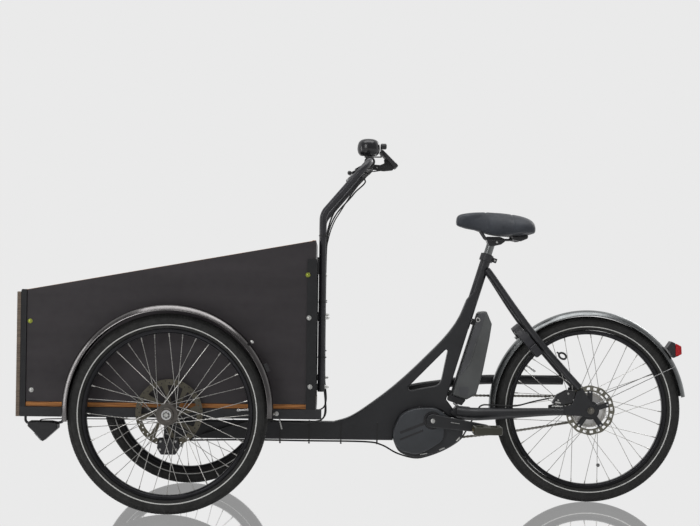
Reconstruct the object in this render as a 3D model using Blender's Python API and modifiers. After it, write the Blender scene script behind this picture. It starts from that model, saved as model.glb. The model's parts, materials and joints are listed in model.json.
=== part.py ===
"""Front-box cargo trike with electric assist, modelled as separate solids.

Everything is drawn in metres from the steering axis: X runs rearwards from it, Y to the
rider's right and Z up from the floor. The parent empty then moves the trike so that the
middle of its box stands on the origin.
"""
import math

import bmesh
import bpy
from mathutils import Matrix, Vector

# Layout
MIDDLE = 0.5879
GAP = 0.0003
WHEELBASE = 1.3215
AXLE_HEIGHT = 0.301
TYRE_SIDES = 32
HALF_TRACK = 0.385

# Wheels
TYRE_RADIUS = 0.0235
RIM_OUTER = 0.2535
RIM_INNER = 0.242
RIM_HALF_WIDTH = 0.0135
SPOKE_COUNT = 36
SPOKE_RADIUS = 0.00115
SPOKE_OFFSET = 0.0016
FRONT_ROTOR = 0.1015
REAR_ROTOR = 0.080
ROTOR_THICKNESS = 0.002
FRONT_ROTOR_Y = 0.345
REAR_ROTOR_Y = -0.055
ROTOR_BORE = 0.0182
REAR_SPOKE_PHASE = 8.2
AROUND = 36

# Mudguards
GUARD_RADIUS = 0.317
GUARD_RISE = 0.0125
GUARD_DEPTH = 0.0165
GUARD_STRIP_WIDTH = 0.014
REAR_GUARD_RADIUS = 0.3225
REAR_GUARD_DEPTH = 0.010
GUARD_HALF_WIDTH = 0.029
GUARD_THICKNESS = 0.0015

# Box
BOX_FRONT = -0.4665
BOX_REAR = 0.438
BOX_HALF_WIDTH = 0.320
PLYWOOD = 0.012
FLOOR_THICKNESS = 0.0145
BASE_LOW = 0.284
BASE_HIGH = 0.3137
BASE_REAR = 0.460
CROSS_REAR = 0.4428
BASE_HALF_WIDTH = 0.3243
RAIL = 0.030
SIDE_FRONT_HEIGHT = 0.669
SIDE_REAR_HEIGHT = 0.829
FRONT_PANEL_HEIGHT = 0.662
FRONT_POST_HEIGHT = 0.667
REAR_POST_HEIGHT = 0.771
POST = 0.0297
FRONT_POST = 0.0165
ANGLE_THICKNESS = 0.0037

# Push bar and controls
BAR_RADIUS = 0.011
BAR_X = 0.4575
BAR_HALF_WIDTH = 0.25
BAR_FOOT = 0.366
BAR_KNEE = 0.912
BAR_TOP = (0.601, 1.080)
BAR_BEND = 0.05
BAR_BORE = BAR_RADIUS + 0.0006
LEVER_FORWARD = (-0.87, -0.493)
LEVER_PIVOT = 0.035
LEVER_Y = 0.059
BELL_X = 0.601
BELL_Y = -0.034
BELL_LOW = 1.112
DISPLAY_Y = 0.022

# Rear frame
FRAME_HALF_WIDTH = 0.020
BEAM_LOW = 0.194
BEAM_HIGH = 0.252
TUBE_FOOT = (0.863, 0.328)
TUBE_SLOPE = 0.3117
TUBE_RADIUS = 0.0165
TUBE_BORE = 0.0140
POST_RADIUS = 0.0134
TUBE_TOP_HEIGHT = 0.800
STAY_RADIUS = 0.0115
DROPOUT_INNER = 0.0685
DROPOUT_OUTER = 0.0745

# Drive
CRANK = (0.815, 0.264)
CRANK_LENGTH = 0.170
CRANK_SLOPE = -7.9
CRANK_INNER = 0.078
CRANK_OUTER = 0.092
SPINDLE_RADIUS = 0.012
SPINDLE_BORE = 0.0145
PEDAL_Y = 0.1425
RIGHT_PEDAL_TILT = -25
PEDAL_AXLE = 0.0055
CHAIN_PITCH = 0.0127
RING_TEETH = 36
SPROCKET_TEETH = 18
CHAIN_Y = 0.050
CHAIN_HALF_WIDTH = 0.0038

# Ring lock
LOCK_ANGLE = 130.0
LOCK_CENTRE = 0.291
LOCK_RING = 0.058
LOCK_THICKNESS = 0.026
LOCK_OFFSET = 0.013
LOCK_GAP = 40.0

# Hoses
HOSE_RADIUS = 0.0025

# Finishes: colour, roughness, metallic
FINISHES = {
    "frame_black": ((0.022, 0.022, 0.024), 0.45, 0.2),
    "dark_plywood": ((0.045, 0.036, 0.034), 0.5, 0.0),
    "birch_edge": ((0.45, 0.22, 0.07), 0.6, 0.0),
    "rubber": ((0.018, 0.018, 0.018), 0.85, 0.0),
    "rim_black": ((0.02, 0.02, 0.022), 0.35, 0.6),
    "steel": ((0.55, 0.55, 0.55), 0.3, 1.0),
    "polished": ((0.75, 0.76, 0.77), 0.18, 1.0),
    "black_plastic": ((0.02, 0.02, 0.022), 0.5, 0.0),
    "grey_plastic": ((0.075, 0.08, 0.085), 0.5, 0.0),
    "saddle_skin": ((0.035, 0.038, 0.05), 0.65, 0.0),
    "red_lens": ((0.5, 0.02, 0.02), 0.2, 0.0),
}

PARTS = bpy.data.collections.new("cargo_trike")
TOOLS = bpy.data.collections.new("shaping_tools")


# ---------------------------------------------------------------- helpers

def clear_scene():
    for item in list(bpy.data.objects):
        bpy.data.objects.remove(item, do_unlink=True)
    bpy.context.scene.collection.children.link(PARTS)
    bpy.context.scene.collection.children.link(TOOLS)


def finish_material(name, finish):
    colour, roughness, metallic = FINISHES[finish]
    material = bpy.data.materials.new(name + "_finish")
    material.use_nodes = True
    shader = material.node_tree.nodes["Principled BSDF"]
    shader.inputs["Base Color"].default_value = (*colour, 1.0)
    shader.inputs["Roughness"].default_value = roughness
    shader.inputs["Metallic"].default_value = metallic
    return material


def add_object(name, mesh, finish=None):
    """Put a mesh in the scene. A shape without a finish is only a shaping tool."""
    item = bpy.data.objects.new(name, mesh)
    (PARTS if finish else TOOLS).objects.link(item)
    if finish:
        mesh.materials.clear()
        mesh.materials.append(finish_material(name, finish))
    return item


def drop(item):
    mesh = item.data
    bpy.data.objects.remove(item, do_unlink=True)
    bpy.data.meshes.remove(mesh)


def evaluated_mesh(item):
    bpy.context.view_layer.update()
    graph = bpy.context.evaluated_depsgraph_get()
    return bpy.data.meshes.new_from_object(item.evaluated_get(graph))


def settle(item):
    """Replace an object's mesh by what its modifiers make of it."""
    mesh = evaluated_mesh(item)
    materials = [slot.material for slot in item.material_slots]
    item.modifiers.clear()
    item.data = mesh
    mesh.materials.clear()
    for material in materials:
        mesh.materials.append(material)
    return item


def combine(item, operation, tools):
    for tool in tools:
        modifier = item.modifiers.new(tool.name, "BOOLEAN")
        modifier.operation = operation
        modifier.object = tool
    settle(item)
    for tool in tools:
        drop(tool)
    return item


def join(item, *tools):
    return combine(item, "UNION", tools)


def cut(item, *tools):
    return combine(item, "DIFFERENCE", tools)


def from_bmesh(name, shape, finish):
    mesh = bpy.data.meshes.new(name)
    shape.to_mesh(mesh)
    shape.free()
    return add_object(name, mesh, finish)


def block(name, low, high, finish=None):
    size = [top - bottom for bottom, top in zip(low, high)]
    centre = [(top + bottom) / 2 for bottom, top in zip(low, high)]
    shape = bmesh.new()
    bmesh.ops.create_cube(shape, size=1.0)
    bmesh.ops.scale(shape, vec=size, verts=shape.verts)
    bmesh.ops.translate(shape, vec=centre, verts=shape.verts)
    return from_bmesh(name, shape, finish)


def rod(name, start, end, radius, finish=None, sides=16):
    start, end = Vector(start), Vector(end)
    along = end - start
    turn = Vector((0, 0, 1)).rotation_difference(along).to_matrix().to_4x4()
    shape = bmesh.new()
    bmesh.ops.create_cone(shape, cap_ends=True, segments=sides, radius1=radius, radius2=radius,
                          depth=along.length, matrix=Matrix.Translation((start + end) / 2) @ turn)
    return from_bmesh(name, shape, finish)


def curve_to_mesh(name, curve, matrix, finish):
    """Turn a filled or bevelled curve into a welded mesh at its place."""
    source = bpy.data.objects.new(name + "_curve", curve)
    TOOLS.objects.link(source)
    mesh = evaluated_mesh(source)
    shape = bmesh.new()
    shape.from_mesh(mesh)
    bmesh.ops.remove_doubles(shape, verts=shape.verts, dist=0.00002)
    bmesh.ops.transform(shape, matrix=matrix, verts=shape.verts)
    shape.to_mesh(mesh)
    shape.free()
    bpy.data.objects.remove(source, do_unlink=True)
    return add_object(name, mesh, finish)


def tube(name, points, radius, finish=None, resolution=2, swell=None):
    """A round bar through the points; swell gives each point's radius as a factor."""
    curve = bpy.data.curves.new(name, "CURVE")
    curve.dimensions = "3D"
    curve.bevel_depth = radius
    curve.bevel_resolution = resolution
    curve.use_fill_caps = True
    spline = curve.splines.new("POLY")
    spline.points.add(len(points) - 1)
    for index, place in enumerate(points):
        spline.points[index].co = (*place, 1.0)
        spline.points[index].radius = swell[index] if swell else 1.0
    return curve_to_mesh(name, curve, Matrix.Identity(4), finish)


def extruded(name, loops, thickness, matrix, finish=None, bevel=0.0, rounds=0):
    """A flat outline with holes, given a thickness and optional softened edges."""
    curve = bpy.data.curves.new(name, "CURVE")
    curve.dimensions = "2D"
    curve.fill_mode = "BOTH"
    curve.extrude = thickness / 2 - bevel
    curve.bevel_depth = bevel
    curve.bevel_resolution = rounds
    curve.offset = -bevel
    for loop in loops:
        spline = curve.splines.new("POLY")
        spline.points.add(len(loop) - 1)
        spline.use_cyclic_u = True
        for point, place in zip(spline.points, loop):
            point.co = (place[0], place[1], 0.0, 1.0)
    return curve_to_mesh(name, curve, matrix, finish)


def side_plate(name, loops, y_low, y_high, finish=None, bevel=0.0, rounds=0):
    """An outline in X and Z with its thickness along Y."""
    matrix = Matrix.Translation((0, (y_low + y_high) / 2, 0)) @ Matrix.Rotation(math.pi / 2, 4, "X")
    return extruded(name, loops, y_high - y_low, matrix, finish, bevel, rounds)


def floor_plate(name, loops, z_low, z_high, finish=None):
    """An outline in X and Y with its thickness along Z."""
    matrix = Matrix.Translation((0, 0, (z_low + z_high) / 2))
    return extruded(name, loops, z_high - z_low, matrix, finish)


def turned(name, profile, finish=None, closed=True, steps=16):
    """A profile of (radius, height) turned about Y, height along +Y."""
    shape = bmesh.new()
    corners = [shape.verts.new((radius, 0, height)) for radius, height in profile]
    for first, second in zip(corners, corners[1:]):
        shape.edges.new((first, second))
    if closed:
        shape.edges.new((corners[-1], corners[0]))
    item = from_bmesh(name, shape, finish)
    screw = item.modifiers.new("turn", "SCREW")
    screw.steps = steps
    screw.render_steps = steps
    screw.use_merge_vertices = True
    screw.merge_threshold = 0.00002
    settle(item)
    item.data.transform(Matrix.Rotation(-math.pi / 2, 4, "X"))
    return item


def move_mesh(item, offset):
    item.data.transform(Matrix.Translation(offset))
    return item


def turn_mesh(item, degrees, axis, about=(0, 0, 0)):
    about = Matrix.Translation(about)
    item.data.transform(about @ Matrix.Rotation(math.radians(degrees), 4, axis) @ about.inverted())
    return item


def joint_empty(name, pivot, parent):
    """An empty on a joint's axis, which carries the pieces that move there."""
    joint = bpy.data.objects.new(name, None)
    PARTS.objects.link(joint)
    joint.parent = parent
    joint.location = Vector(pivot) - place_of(parent)
    return joint


def carry(joint, *items):
    """Parent pieces to an empty, with their origins on it, and leave them where they are."""
    pivot = place_of(joint)
    for item in items:
        if item.location.length == 0.0:
            item.data.transform(Matrix.Translation(-pivot))
            item.location = pivot
        item.parent = joint
        item.location = item.location - pivot
    return joint


def place_of(joint):
    """Where an empty stands, measured from the steering axis."""
    total = Vector((0, 0, 0))
    while joint is not None and joint.parent is not None:
        total += joint.location
        joint = joint.parent
    return total


def smooth_shade(item, degrees=35):
    item.data.shade_smooth()
    item.data.set_sharp_from_angle(angle=math.radians(degrees))


def arc(centre, radius, start, end, steps):
    """Points along an arc in a plane, angles in degrees."""
    points = []
    for step in range(steps + 1):
        angle = math.radians(start + (end - start) * step / steps)
        points.append((centre[0] + radius * math.cos(angle), centre[1] + radius * math.sin(angle)))
    return points


def circle(centre, radius, steps=16):
    return arc(centre, radius, 0, 360, steps)[:-1]


def sector(inner, outer, start, end, steps, centre=(0, 0)):
    return arc(centre, outer, start, end, steps) + arc(centre, inner, end, start, steps)


def smooth(points, steps=4):
    """A Catmull-Rom curve through the points, in any number of dimensions."""
    ends = [points[0], *points, points[-1]]
    result = []
    for a, b, c, d in zip(ends, ends[1:], ends[2:], ends[3:]):
        for step in range(steps):
            t = step / steps
            result.append(tuple(
                0.5 * (2 * q + (r - p) * t + (2 * p - 5 * q + 4 * r - s) * t * t
                       + (3 * q - p - 3 * r + s) * t ** 3)
                for p, q, r, s in zip(a, b, c, d)))
    result.append(tuple(points[-1]))
    return result


def rounded(points, radius, steps=5):
    """A path of straight runs with its inner corners rounded."""
    points = [Vector(point) for point in points]
    result = [points[0]]
    for before, corner, after in zip(points, points[1:], points[2:]):
        back = (before - corner).normalized()
        ahead = (after - corner).normalized()
        half = back.angle(ahead) / 2
        reach = radius / math.tan(half)
        centre = corner + (back + ahead).normalized() * radius / math.sin(half)
        start = (corner + back * reach - centre).normalized()
        end = (corner + ahead * reach - centre).normalized()
        for step in range(steps + 1):
            result.append(centre + start.slerp(end, step / steps) * radius)
    result.append(points[-1])
    return result


def local_frame(origin, x_axis, y_axis):
    """A matrix whose X and Y run along two given directions."""
    x_axis = Vector(x_axis).normalized()
    y_axis = Vector(y_axis).normalized()
    z_axis = x_axis.cross(y_axis)
    matrix = Matrix((x_axis, y_axis, z_axis)).transposed().to_4x4()
    matrix.translation = Vector(origin)
    return matrix


def link_outline(first, first_radius, second, second_radius, steps=8):
    """A bar with two round ends of unlike size."""
    run = Vector(second) - Vector(first)
    lean = math.degrees(math.acos((first_radius - second_radius) / run.length))
    heading = math.degrees(math.atan2(run.y, run.x))
    return (arc(first, first_radius, heading + lean, heading + 360 - lean, steps)
            + arc(second, second_radius, heading - lean, heading + lean, steps))


def mirrored_y(points):
    return [(x, -y, z) for x, y, z in points]


def on_wheel(radius, degrees, centre=(WHEELBASE, AXLE_HEIGHT)):
    angle = math.radians(degrees)
    return centre[0] + radius * math.cos(angle), centre[1] + radius * math.sin(angle)


# ---------------------------------------------------------------- wheels

def tyre(name):
    """A ring of straight sides that stands on one of them."""
    half_side = math.pi / TYRE_SIDES
    corner_radius = AXLE_HEIGHT / math.cos(half_side)
    bpy.ops.mesh.primitive_torus_add(major_segments=TYRE_SIDES, minor_segments=8,
                                     major_radius=corner_radius - TYRE_RADIUS,
                                     minor_radius=TYRE_RADIUS)
    ring = bpy.context.object
    mesh = ring.data
    bpy.data.objects.remove(ring, do_unlink=True)
    item = add_object(name, mesh, "rubber")
    turn_mesh(item, 90, "X")
    turn_mesh(item, math.degrees(half_side), "Y")
    smooth_shade(item, 60)
    return item


def spokes(name, flange_radius, flange_y, crosses, phase):
    """Crossed spokes, leading and trailing ones a little apart so that they never touch."""
    pitch = 360 / SPOKE_COUNT
    shape = bmesh.new()
    for index in range(SPOKE_COUNT):
        side = 1 if index % 2 else -1
        lead = 1 if index // 2 % 2 else -1
        rim_angle = math.radians(index * pitch + phase)
        hub_angle = rim_angle + lead * math.radians(crosses * 2 * pitch)
        start = Vector((flange_radius * math.cos(hub_angle), side * flange_y + lead * SPOKE_OFFSET,
                        flange_radius * math.sin(hub_angle)))
        reach = (RIM_INNER + RIM_OUTER) / 2
        end = Vector((reach * math.cos(rim_angle), side * SPOKE_OFFSET * 2 + lead * SPOKE_OFFSET,
                      reach * math.sin(rim_angle)))
        along = end - start
        turn = Vector((0, 0, 1)).rotation_difference(along).to_matrix().to_4x4()
        bmesh.ops.create_cone(shape, cap_ends=True, segments=3, radius1=SPOKE_RADIUS,
                              radius2=SPOKE_RADIUS, depth=along.length,
                              matrix=Matrix.Translation((start + end) / 2) @ turn)
    return from_bmesh(name, shape, None)


def laced_wheel(name, hub_profile, flange_radius, flange_y, crosses, phase=0.0):
    """Rim, spokes and hub shell, drawn about the wheel's own centre."""
    rim_profile = [(RIM_OUTER, 0.0115), (RIM_OUTER, -0.0115), (RIM_OUTER - 0.004, -RIM_HALF_WIDTH),
                   (RIM_INNER, -0.008), (RIM_INNER, 0.008), (RIM_OUTER - 0.004, RIM_HALF_WIDTH)]
    item = turned(name, rim_profile, "rim_black", steps=AROUND)
    hub = turned(name + "_hub", hub_profile, steps=12)
    join(item, spokes(name + "_spokes", flange_radius, flange_y, crosses, phase), hub)
    smooth_shade(item)
    return item


FRONT_HUB = [(0.0175, 0.044), (0.0175, 0.0385), (0.020, 0.0385), (0.020, 0.029), (0.033, 0.029),
             (0.033, 0.023), (0.018, 0.020), (0.018, -0.020), (0.033, -0.023), (0.033, -0.029),
             (0.0205, -0.031), (0.0205, -0.044), (0.008, -0.044), (0.008, 0.044)]

REAR_HUB = [(0.012, 0.066), (0.012, 0.058), (0.0173, 0.058), (0.0173, 0.042), (0.030, 0.040),
            (0.057, 0.034), (0.057, 0.026), (0.050, 0.020), (0.050, -0.020), (0.057, -0.026),
            (0.057, -0.034), (0.030, -0.040), (0.030, -0.0535), (0.0175, -0.0535),
            (0.0175, -0.066), (0.0056, -0.066), (0.0056, 0.066)]


def rotor(name, radius):
    """A brake disc on five arms, lying in the wheel's own plane."""
    loops = [circle((0, 0), radius, AROUND), circle((0, 0), ROTOR_BORE, 12)]
    for index in range(5):
        middle = 90 + index * 72
        loops.append(sector(0.030, radius - 0.016, middle - 26, middle + 26, 3))
    half = ROTOR_THICKNESS / 2
    return side_plate(name, loops, -half, half, "steel")


def copy_of(item, name):
    """Another object with the same mesh."""
    twin = bpy.data.objects.new(name, item.data)
    PARTS.objects.link(twin)
    return twin


def front_wheels(parent):
    left_tyre = tyre("left_tyre")
    left_wheel = laced_wheel("left_wheel", FRONT_HUB, 0.029, 0.026, 3)
    left_rotor = rotor("left_rotor", FRONT_ROTOR)
    left = joint_empty("left_wheel_axis", (0, -HALF_TRACK, AXLE_HEIGHT), parent)
    right = joint_empty("right_wheel_axis", (0, HALF_TRACK, AXLE_HEIGHT), parent)
    right.rotation_euler = (0, 0, math.pi)
    for item in (left_tyre, left_wheel, left_rotor):
        twin = copy_of(item, item.name.replace("left", "right"))
        item.parent = left
        twin.parent = right
        if item is left_rotor:
            item.location.y = HALF_TRACK - FRONT_ROTOR_Y
            twin.location.y = HALF_TRACK - FRONT_ROTOR_Y


def rear_wheel(parent):
    axis = joint_empty("rear_wheel_axis", (WHEELBASE, 0, AXLE_HEIGHT), parent)
    disc = rotor("rear_rotor", REAR_ROTOR)
    disc.location.y = REAR_ROTOR_Y
    for item in (tyre("rear_tyre"), laced_wheel("rear_wheel", REAR_HUB, 0.054, 0.030, 2, REAR_SPOKE_PHASE),
                 disc):
        item.parent = axis


def mudguard(name, radius, depth, start, end, steps=20):
    """A crowned strip bent round the wheel, drawn about the wheel's centre."""
    half = GUARD_HALF_WIDTH
    crown = [(radius - depth, -half), (radius, -half * 0.45), (radius, half * 0.45),
             (radius - depth, half)]
    shape = bmesh.new()
    rows = []
    for step in range(steps + 1):
        angle = math.radians(start + (end - start) * step / steps)
        rows.append([shape.verts.new((r * math.cos(angle), y, r * math.sin(angle))) for r, y in crown])
    for row, following in zip(rows, rows[1:]):
        for index in range(len(crown) - 1):
            shape.faces.new((row[index], row[index + 1], following[index + 1], following[index]))
    item = from_bmesh(name, shape, "polished")
    skin = item.modifiers.new("thickness", "SOLIDIFY")
    skin.thickness = GUARD_THICKNESS
    skin.offset = 1.0
    settle(item)
    return item


# ---------------------------------------------------------------- front frame

def box_base_frame():
    """Welded base of square tube with two front posts and two rear corner angles."""
    outer = BASE_HALF_WIDTH
    front = BOX_FRONT + PLYWOOD + GAP
    inner = outer - RAIL
    ring = [(front, -outer), (CROSS_REAR, -outer), (CROSS_REAR, outer), (front, outer)]
    window = [(front + RAIL, -inner), (CROSS_REAR - RAIL, -inner),
              (CROSS_REAR - RAIL, inner), (front + RAIL, inner)]
    item = floor_plate("box_base_frame", [ring, window], BASE_LOW, BASE_HIGH, "frame_black")
    skin = outer - GAP
    foot = BASE_HIGH - 0.012
    rear = BOX_REAR + GAP
    lip = 0.5 * GAP
    additions = []
    for side in (-1, 1):
        near, far = sorted((side * skin, side * (skin - POST)))
        additions.append(block("post", (front + lip, near, foot),
                               (front + FRONT_POST, far, FRONT_POST_HEIGHT)))
        near, far = sorted((side * skin, side * (BOX_HALF_WIDTH + GAP)))
        side_leg = block("side_leg", (rear - POST + ANGLE_THICKNESS, near, foot),
                         (rear + ANGLE_THICKNESS, far, REAR_POST_HEIGHT))
        near, far = sorted((side * (skin - 0.001), side * (skin - POST)))
        rear_leg = block("rear_leg", (rear, near, foot),
                         (rear + ANGLE_THICKNESS - 0.0001, far, REAR_POST_HEIGHT - 0.0002))
        near, far = sorted((side * (outer - lip), side * (inner + lip)))
        additions += [side_leg, rear_leg]
        if side < 0:
            additions.append(block("rail_end", (CROSS_REAR - POST, near, BASE_LOW + lip),
                                   (BASE_REAR, far, BASE_HIGH - lip)))
    join(item, *additions)
    return cut(item, rod("hole", (0, -outer - 0.01, AXLE_HEIGHT), (0, outer + 0.01, AXLE_HEIGHT), 0.0088))


def axle_beam():
    """Cross beam between the rails, its stub axles, their nuts and the caliper tabs."""
    half = BASE_HALF_WIDTH - RAIL - GAP
    item = block("axle_beam", (-0.020, -half, BASE_LOW + 0.001), (0.020, half, BASE_HIGH - 0.0008),
                 "frame_black")
    outer_end = 0.435
    additions = [rod("stub", (0, -outer_end, AXLE_HEIGHT), (0, outer_end, AXLE_HEIGHT), 0.0075)]
    for side in (-1, 1):
        additions.append(rod("nut", (0, side * 0.4295, AXLE_HEIGHT),
                             (0, side * (outer_end - 0.0003), AXLE_HEIGHT), 0.0100, sides=6))
        tab = [(-0.016, 0.203), (0.016, 0.203), (0.016, 0.290), (0.010, 0.314), (-0.010, 0.314),
               (-0.016, 0.290)]
        near, far = sorted((side * 0.3255, side * 0.3325))
        additions.append(side_plate("tab", [tab], near, far))
    return join(item, *additions)


def king_pin():
    profile = [(0.0, 0.2845), (0.022, 0.2845), (0.022, 0.2785), (0.018, 0.2785), (0.018, 0.2535),
               (0.012, 0.2535), (0.012, 0.1925), (0.0175, 0.1925), (0.0175, 0.180), (0.0, 0.180)]
    item = turned("king_pin", profile, "steel", closed=False)
    turn_mesh(item, 90, "X")
    return item


def box_floor():
    front = BOX_FRONT + PLYWOOD + GAP
    notch = front + FRONT_POST + GAP
    inner = BASE_HALF_WIDTH - POST - 2 * GAP
    half = BOX_HALF_WIDTH
    outline = [(front, -inner), (notch, -inner), (notch, -half), (BOX_REAR, -half), (BOX_REAR, half),
               (notch, half), (notch, inner), (front, inner)]
    low = BASE_HIGH + GAP
    return floor_plate("box_floor", [outline], low, low + FLOOR_THICKNESS, "birch_edge")


def side_panel(name, side):
    front = BOX_FRONT + PLYWOOD + FRONT_POST + 2 * GAP
    low = BASE_HIGH + FLOOR_THICKNESS + 2 * GAP
    outline = [(front, low), (BOX_REAR, low), (BOX_REAR, SIDE_REAR_HEIGHT), (front, SIDE_FRONT_HEIGHT)]
    near, far = sorted((side * BOX_HALF_WIDTH, side * (BOX_HALF_WIDTH - PLYWOOD)))
    return side_plate(name, [outline], near, far, "dark_plywood")


def end_panels():
    low = BASE_HIGH + FLOOR_THICKNESS + 2 * GAP
    half = BOX_HALF_WIDTH - PLYWOOD - GAP
    front = block("front_panel", (BOX_FRONT, -BASE_HALF_WIDTH, BASE_LOW),
                  (BOX_FRONT + PLYWOOD, BASE_HALF_WIDTH, FRONT_PANEL_HEIGHT), "dark_plywood")
    rear = block("rear_panel", (BOX_REAR - PLYWOOD, -half, low), (BOX_REAR, half, SIDE_REAR_HEIGHT),
                 "dark_plywood")
    return [front, rear]


def push_bar():
    """One bent tube: two uprights that lean back at the knee, joined by the cross bar."""
    top_x, top_z = BAR_TOP
    side = [(BAR_X, -BAR_HALF_WIDTH, BAR_FOOT), (BAR_X, -BAR_HALF_WIDTH, BAR_KNEE),
            (top_x, -BAR_HALF_WIDTH, top_z)]
    path = rounded(side + mirrored_y(side)[::-1], BAR_BEND, 4)
    item = tube("push_bar", path, BAR_RADIUS, "frame_black")
    smooth_shade(item, 50)
    return item


def bar_ring(name, y_low, y_high, radius, finish=None, steps=16):
    """A sleeve round the cross bar."""
    profile = [(radius, y_high), (radius, y_low), (BAR_BORE, y_low), (BAR_BORE, y_high)]
    item = turned(name, profile, finish, steps=steps)
    return move_mesh(item, (BAR_TOP[0], 0, BAR_TOP[1]))


def lever_frame(side):
    """X forward along the lever's reach, Y outboard, Z along its pivot."""
    forward = (LEVER_FORWARD[0], 0, LEVER_FORWARD[1])
    return local_frame((BAR_TOP[0], side * LEVER_Y, BAR_TOP[1]), forward, (0, side, 0))


def lever_mount(name):
    """Clamp and fork of a brake lever, drawn in the lever frame."""
    ring = turned(name, [(0.0165, 0.009), (0.0165, -0.009), (BAR_BORE, -0.009), (BAR_BORE, 0.009)],
                  "black_plastic")
    body = extruded("body", [[(0.0145, -0.0082), (0.030, -0.012), (0.043, -0.010), (0.046, 0.000),
                              (0.043, 0.008), (0.0145, 0.0080)]], 0.020, Matrix.Identity(4))
    cylinder = rod("cylinder", (0.0245, -0.0178, 0), (0.0245, -0.0075, 0), 0.0085, sides=12)
    join(ring, body, cylinder)
    slot = block("slot", (0.0252, -0.0096, -0.0063), (0.060, 0.020, 0.0063))
    hole = rod("hole", (LEVER_PIVOT, 0, -0.02), (LEVER_PIVOT, 0, 0.02), 0.0036, sides=10)
    return cut(ring, slot, hole)


def lever_blade(name):
    """Lever with its pivot boss, pin and ball end, drawn about the pivot in the lever frame."""
    reach = smooth([(0, 0, 0), (0.010, 0.018, 0), (0.026, 0.038, 0), (0.034, 0.062, 0),
                    (0.035, 0.095, 0), (0.037, 0.128, 0)], 2)
    item = rod(name, (0, 0, -0.0058), (0, 0, 0.0058), 0.009, "black_plastic", sides=12)
    pin = rod("pin", (0, 0, -0.0105), (0, 0, 0.0105), 0.003, sides=10)
    blade = tube("blade", reach, 0.0048)
    bpy.ops.mesh.primitive_uv_sphere_add(segments=8, ring_count=5, radius=0.007,
                                         location=(0.037, 0.130, 0))
    ball = bpy.context.object
    mesh = ball.data
    mesh.transform(Matrix.Translation(ball.location))
    bpy.data.objects.remove(ball, do_unlink=True)
    return join(item, pin, blade, add_object("ball", mesh))


def brake_levers(parent):
    mount = lever_mount("left_lever_mount")
    blade = lever_blade("left_brake_lever")
    for side, word in ((-1, "left"), (1, "right")):
        frame = lever_frame(side)
        holder = mount if side < 0 else copy_of(mount, "right_lever_mount")
        lever = blade if side < 0 else copy_of(blade, "right_brake_lever")
        pivot = frame @ Vector((LEVER_PIVOT, 0, 0))
        joint = joint_empty(word + "_lever_axis", pivot, parent)
        joint.rotation_euler = frame.to_euler()
        lever.parent = joint
        holder.parent = parent
        holder.matrix_basis = Matrix.Translation(-place_of(parent)) @ frame


def bell_dome():
    dome = turned("bell_dome", [(0.0, 0.054), (0.016, 0.0525), (0.028, 0.046), (0.0345, 0.034),
                                (0.0362, 0.020), (0.0345, 0.007), (0.028, 0.0), (0.0, 0.0)],
                  "black_plastic", closed=False)
    turn_mesh(dome, 90, "X")
    move_mesh(dome, (BELL_X, BELL_Y, BELL_LOW))
    stem = rod("stem", (BELL_X, BELL_Y, BAR_TOP[1] + 0.012), (BELL_X, BELL_Y, BELL_LOW + 0.002), 0.008,
               sides=10)
    clamp = bar_ring("clamp", BELL_Y - 0.006, BELL_Y + 0.006, 0.0152)
    item = join(dome, stem, clamp)
    smooth_shade(item, 50)
    return item


def bell_lever():
    """Ring round the bell's stem with an arm, an upright leg and a thumb knob."""
    arm = [(0.012, -0.004), (0.0425, -0.004), (0.0425, 0.004), (0.012, 0.004)]
    low = BELL_LOW - 0.0065
    high = BELL_LOW - 0.0020
    item = floor_plate("bell_lever", [circle((0, 0), 0.0135, 16), circle((0, 0), 0.0088, 16)],
                       low, high, "black_plastic")
    knob_height = BELL_LOW + 0.030
    join(item, floor_plate("arm", [arm], low + 0.0003, high - 0.0003),
         block("leg", (0.0380, -0.0036, low + 0.0006), (0.0422, 0.0036, knob_height + 0.003)),
         rod("knob", (0.0384, 0, knob_height), (0.0580, 0, knob_height), 0.0090, sides=12))
    return move_mesh(item, (BELL_X, BELL_Y, 0))


def display():
    """Rider's display on an arm from the bar, its face tipped back to the rider."""
    item = bar_ring("display", DISPLAY_Y - 0.010, DISPLAY_Y + 0.010, 0.0155, "black_plastic")
    arm = side_plate("arm", [[(0.6135, 1.073), (0.652, 1.0665), (0.680, 1.070), (0.689, 1.079),
                              (0.684, 1.087), (0.674, 1.090), (0.648, 1.083), (0.6135, 1.087)]],
                     DISPLAY_Y - 0.007, DISPLAY_Y + 0.007)
    face = side_plate("face", [[(-0.037, -0.007), (0.034, -0.007), (0.037, -0.004), (0.037, 0.004),
                                (0.034, 0.007), (-0.037, 0.007)]], -0.036, 0.036)
    turn_mesh(face, 45, "Y")
    move_mesh(face, (0.668, DISPLAY_Y - 0.001, 1.1045))
    return join(item, arm, face)


def front_mudguard(name, side):
    item = mudguard(name, GUARD_RADIUS, GUARD_DEPTH, -4.0, 187.0)
    move_mesh(item, (0, side * HALF_TRACK, AXLE_HEIGHT + GUARD_RISE))
    strips = []
    for x, z in ((-0.3205, 0.2862), (0.3065, 0.3000)):
        near, far = sorted((side * (BASE_HALF_WIDTH + 2 * GAP), side * (HALF_TRACK - 0.012)))
        strips.append(block("strip", (x, near, z), (x + GUARD_STRIP_WIDTH, far, z + 0.004)))
    item = join(item, *strips)
    smooth_shade(item, 40)
    return item


def headlight():
    """Lamp on a bent rod below the box's front left corner."""
    x, y, z = -0.400, -0.270, 0.238
    outline = [(-0.035, 0.028), (0.033, 0.028), (0.055, 0.024), (0.055, 0.0065), (0.011, -0.033),
               (-0.016, -0.004), (-0.035, 0.014)]
    item = side_plate("headlight", [outline], -0.028, 0.028, "black_plastic", bevel=0.003)
    move_mesh(item, (x, y, z))
    path = rounded([(-0.446, y, BASE_LOW - GAP), (-0.446, y, 0.259), (-0.424, y, 0.259)], 0.012, 4)
    return join(item, tube("rod", path, 0.004))


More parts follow.
